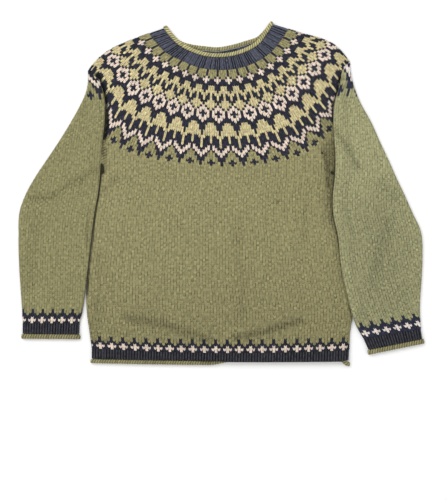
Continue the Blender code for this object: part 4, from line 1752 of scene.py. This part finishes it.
def hem_edge() -> CurledEdge:
    """The curled edge of the hem, tucked up behind the band on the right."""
    level = np.linspace(0, 1, HEM_EDGE_STEPS)
    x, y = on_span(HEM, level)
    y = y - ROLL_HALF_WIDTH - 1.5 * SEAM - HEM_LOW_SAG * arch(level)
    y += ROLL_TUCK * within(TUCK, level) - ROLL_TIP * smoothstep((level - TIP_FROM) / (1 - TIP_FROM))
    return edge_below("hem_edge_knit", x, y, ROLL_HALF_WIDTH)


def cuff_edge(name: str, cuff: Span) -> CurledEdge:
    """The curled edge of a cuff, square below its band.

    Args:
        name: left or right.
        cuff: the band's lowest span.

    Returns:
        The curled edge.
    """
    run = Vector((cuff.x_b - cuff.x_a, cuff.y_b - cuff.y_a)).normalized()
    drop = CUFF_ROLL_HALF_WIDTH + SEAM
    x, y = on_span(cuff, np.linspace(0, 1, CUFF_EDGE_STEPS))
    return edge_below(f"cuff_edge_{name}_knit", x + run.y * drop, y - run.x * drop,
                      CUFF_ROLL_HALF_WIDTH)


# ------------------------------------------------------------- the studio

IMAGE_LONG_SIDE = 500     # pixels of the picture's long side
PIXEL = 0.002             # metres that one of its pixels shows
LENS = 85.0               # focal length, in millimetres
SENSOR = 36.0             # width of the camera's sensor
AIM = (0.004, -0.1125)    # place in the middle of the picture, in metres


@dataclass(frozen=True)
class Studio:
    """A pale floor under plain soft light, with the camera straight above.

    Attributes:
        floor_size: the floor's side, in metres.
        floor_tone: how pale it is.
        floor_roughness: how matt it is.
        floor_shine: strength of its highlights.
        sky: strength of the light all round.
        key_energy: power of the lamp, in watts.
        key_size: the lamp's side, in metres.
        key_place: where the lamp hangs, in metres.
    """

    floor_size: float = 6.0
    floor_tone: float = 0.9
    floor_roughness: float = 0.9
    floor_shine: float = 0.1
    sky: float = 0.94
    key_energy: float = 42.0
    key_size: float = 2.0
    key_place: tuple[float, float, float] = (-1.2, 1.2, 2.6)

    def camera(self) -> None:
        """The camera over the garment."""
        lens = bpy.data.cameras.new("camera")
        lens.lens = LENS
        lens.sensor_width = SENSOR
        height = IMAGE_LONG_SIDE * PIXEL * LENS / SENSOR
        camera = bpy.data.objects.new("camera", lens)
        camera.location = (AIM[0], AIM[1], height)
        bpy.context.scene.collection.objects.link(camera)
        bpy.context.scene.camera = camera

    def floor(self) -> None:
        """The plain surface that the garment lies on."""
        sheet = bmesh.new()
        bmesh.ops.create_grid(sheet, x_segments=1, y_segments=1, size=self.floor_size / 2)
        mesh = bpy.data.meshes.new("floor")
        sheet.to_mesh(mesh)
        sheet.free()
        floor = bpy.data.objects.new("floor", mesh)
        bpy.context.scene.collection.objects.link(floor)
        material = bpy.data.materials.new("floor_paper")
        wires = Wiring(material)
        wires.feed(wires.shader, {
            "Base Color": (*(self.floor_tone,) * 3, 1.0), "Roughness": self.floor_roughness,
            "Specular IOR Level": self.floor_shine})
        mesh.materials.append(material)

    def lights(self) -> None:
        """Soft light all round and a large lamp above the left shoulder."""
        scene = bpy.context.scene
        scene.world = bpy.data.worlds.new("studio")
        scene.world.use_nodes = True
        sky = scene.world.node_tree.nodes["Background"]
        sky.inputs["Color"].default_value = (1.0, 1.0, 1.0, 1.0)
        sky.inputs["Strength"].default_value = self.sky
        lamp = bpy.data.lights.new("key", "AREA")
        lamp.energy = self.key_energy
        lamp.size = self.key_size
        key = bpy.data.objects.new("key", lamp)
        key.location = self.key_place
        key.rotation_euler = (-Vector(self.key_place)).to_track_quat("-Z", "Y").to_euler()
        scene.collection.objects.link(key)
        scene.view_settings.view_transform = "Standard"
        scene.view_settings.look = "None"

    def build(self) -> None:
        """Set the studio up."""
        self.camera()
        self.floor()
        self.lights()


# ------------------------------------------------------------- the jumper

# The left sleeve's olive is coloured a little darker, as painted shade, and the right one's lighter
# and bluer, as painted light.
LEFT = Sleeve(
    name="left", tube=SpanTube(LEFT_SLEEVE), lift=LEFT_LIFT, inner_left=False,
    widths=((188, 4.7), (88, 5.0), (-12, 5.2), (-112, 5.1), (-212, 5.0), (-280, 4.9)),
    starts=((220, -2.5), (120, -1.0), (0, 0.0), (-60, 0.0), (-100, -1.0), (-180, -7.0),
            (-285, -16.0)),
    tip_column=2, cap_rows=(6.2, 6.2, 6.2, 5.6, 5, 5, 5, 5, 5, 5),
    edge_chart=LEFT_CUFF_CHART, edge_shift=2, creases=LEFT_CREASES, painted_light=(0.92, 0.94, 0.93))
RIGHT = Sleeve(
    name="right", tube=SpanTube(RIGHT_SLEEVE), lift=RIGHT_LIFT, inner_left=True,
    widths=((188, 4.7), (88, 5.0), (-12, 5.2), (-112, 5.3), (-212, 5.35), (-280, 5.36)),
    starts=((220, 2.5), (150, 1.0), (100, 0.0), (-120, 0.0), (-220, 3.2), (-300, 3.2)),
    tip_column=4, cap_rows=(7.8, 7.8, 7.8, 8.0, 8.5, 8.5, 8.5, 6.0),
    edge_chart=RIGHT_CUFF_CHART, edge_shift=0, creases=RIGHT_CREASES, painted_light=(1.22, 1.3, 1.42))

# Flat cuts, all the way round: width, length and area.
CUT_STEPS = 50            # places where the width of a tube is measured


@dataclass
class Dresser:
    """Dresses the pieces and ties them to the frame.

    Attributes:
        finish: the wool finish of all the knitting.
    """

    finish: WoolFinish

    def __post_init__(self) -> None:
        """Make the material."""
        self.wool = self.finish.make()

    def dress(self, piece: bpy.types.Object, nodes: Sequence[str]) -> None:
        """Finish one piece, tie it to the frame and hide the solids that it stands for.

        Args:
            piece: the piece.
            nodes: the solids that it stands for.
        """
        piece.data.materials.append(self.wool)
        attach(piece, "root")
        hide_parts(*nodes)
        LOG.info("%s: %d faces", piece.name, len(piece.data.polygons))


def tube_cut(tube: SpanTube) -> Cut:
    """Flat cut of a whole tube."""
    climbs = np.linspace(0, tube.length, CUT_STEPS)
    around = 2 * half_round(tube.edges(climbs)[-1])
    return Cut(float(around.max()), tube.length, float(around.mean() * tube.length))


def main() -> None:
    """Build the studio, knit the pieces and dress them."""
    logging.basicConfig(level=logging.INFO)
    Studio().build()
    dresser = Dresser(WoolFinish("jumper_wool"))
    yoke = Yoke().build()
    whole = tube_cut(Body().tube)
    front, back = Body().build()
    dresser.dress(back, ["body"])
    dresser.dress(front, ["body"])
    dresser.dress(yoke, ["yoke"])
    for sleeve, cuff in ((LEFT, LEFT_CUFF), (RIGHT, RIGHT_CUFF)):
        name = sleeve.name
        cut = tube_cut(sleeve.tube)
        dresser.dress(sleeve.build(), [f"sleeve_{name}"])
        band = CuffBand(name, sleeve.tube.spans[-1], cuff).build()
        dresser.dress(band, [f"cuff_band_{name}"])
        edge = cuff_edge(name, cuff).build()
        dresser.dress(edge, [f"cuff_roll_{name}"])
    dresser.dress(HemBand().build(), ["hem_band"])
    dresser.dress(hem_edge().build(), ["hem_roll"])
    dresser.dress(NeckBand().build(), ["neck_band"])
    dresser.dress(neck_edge().build(), ["neck_roll"])


if __name__ == "__main__":
    main()
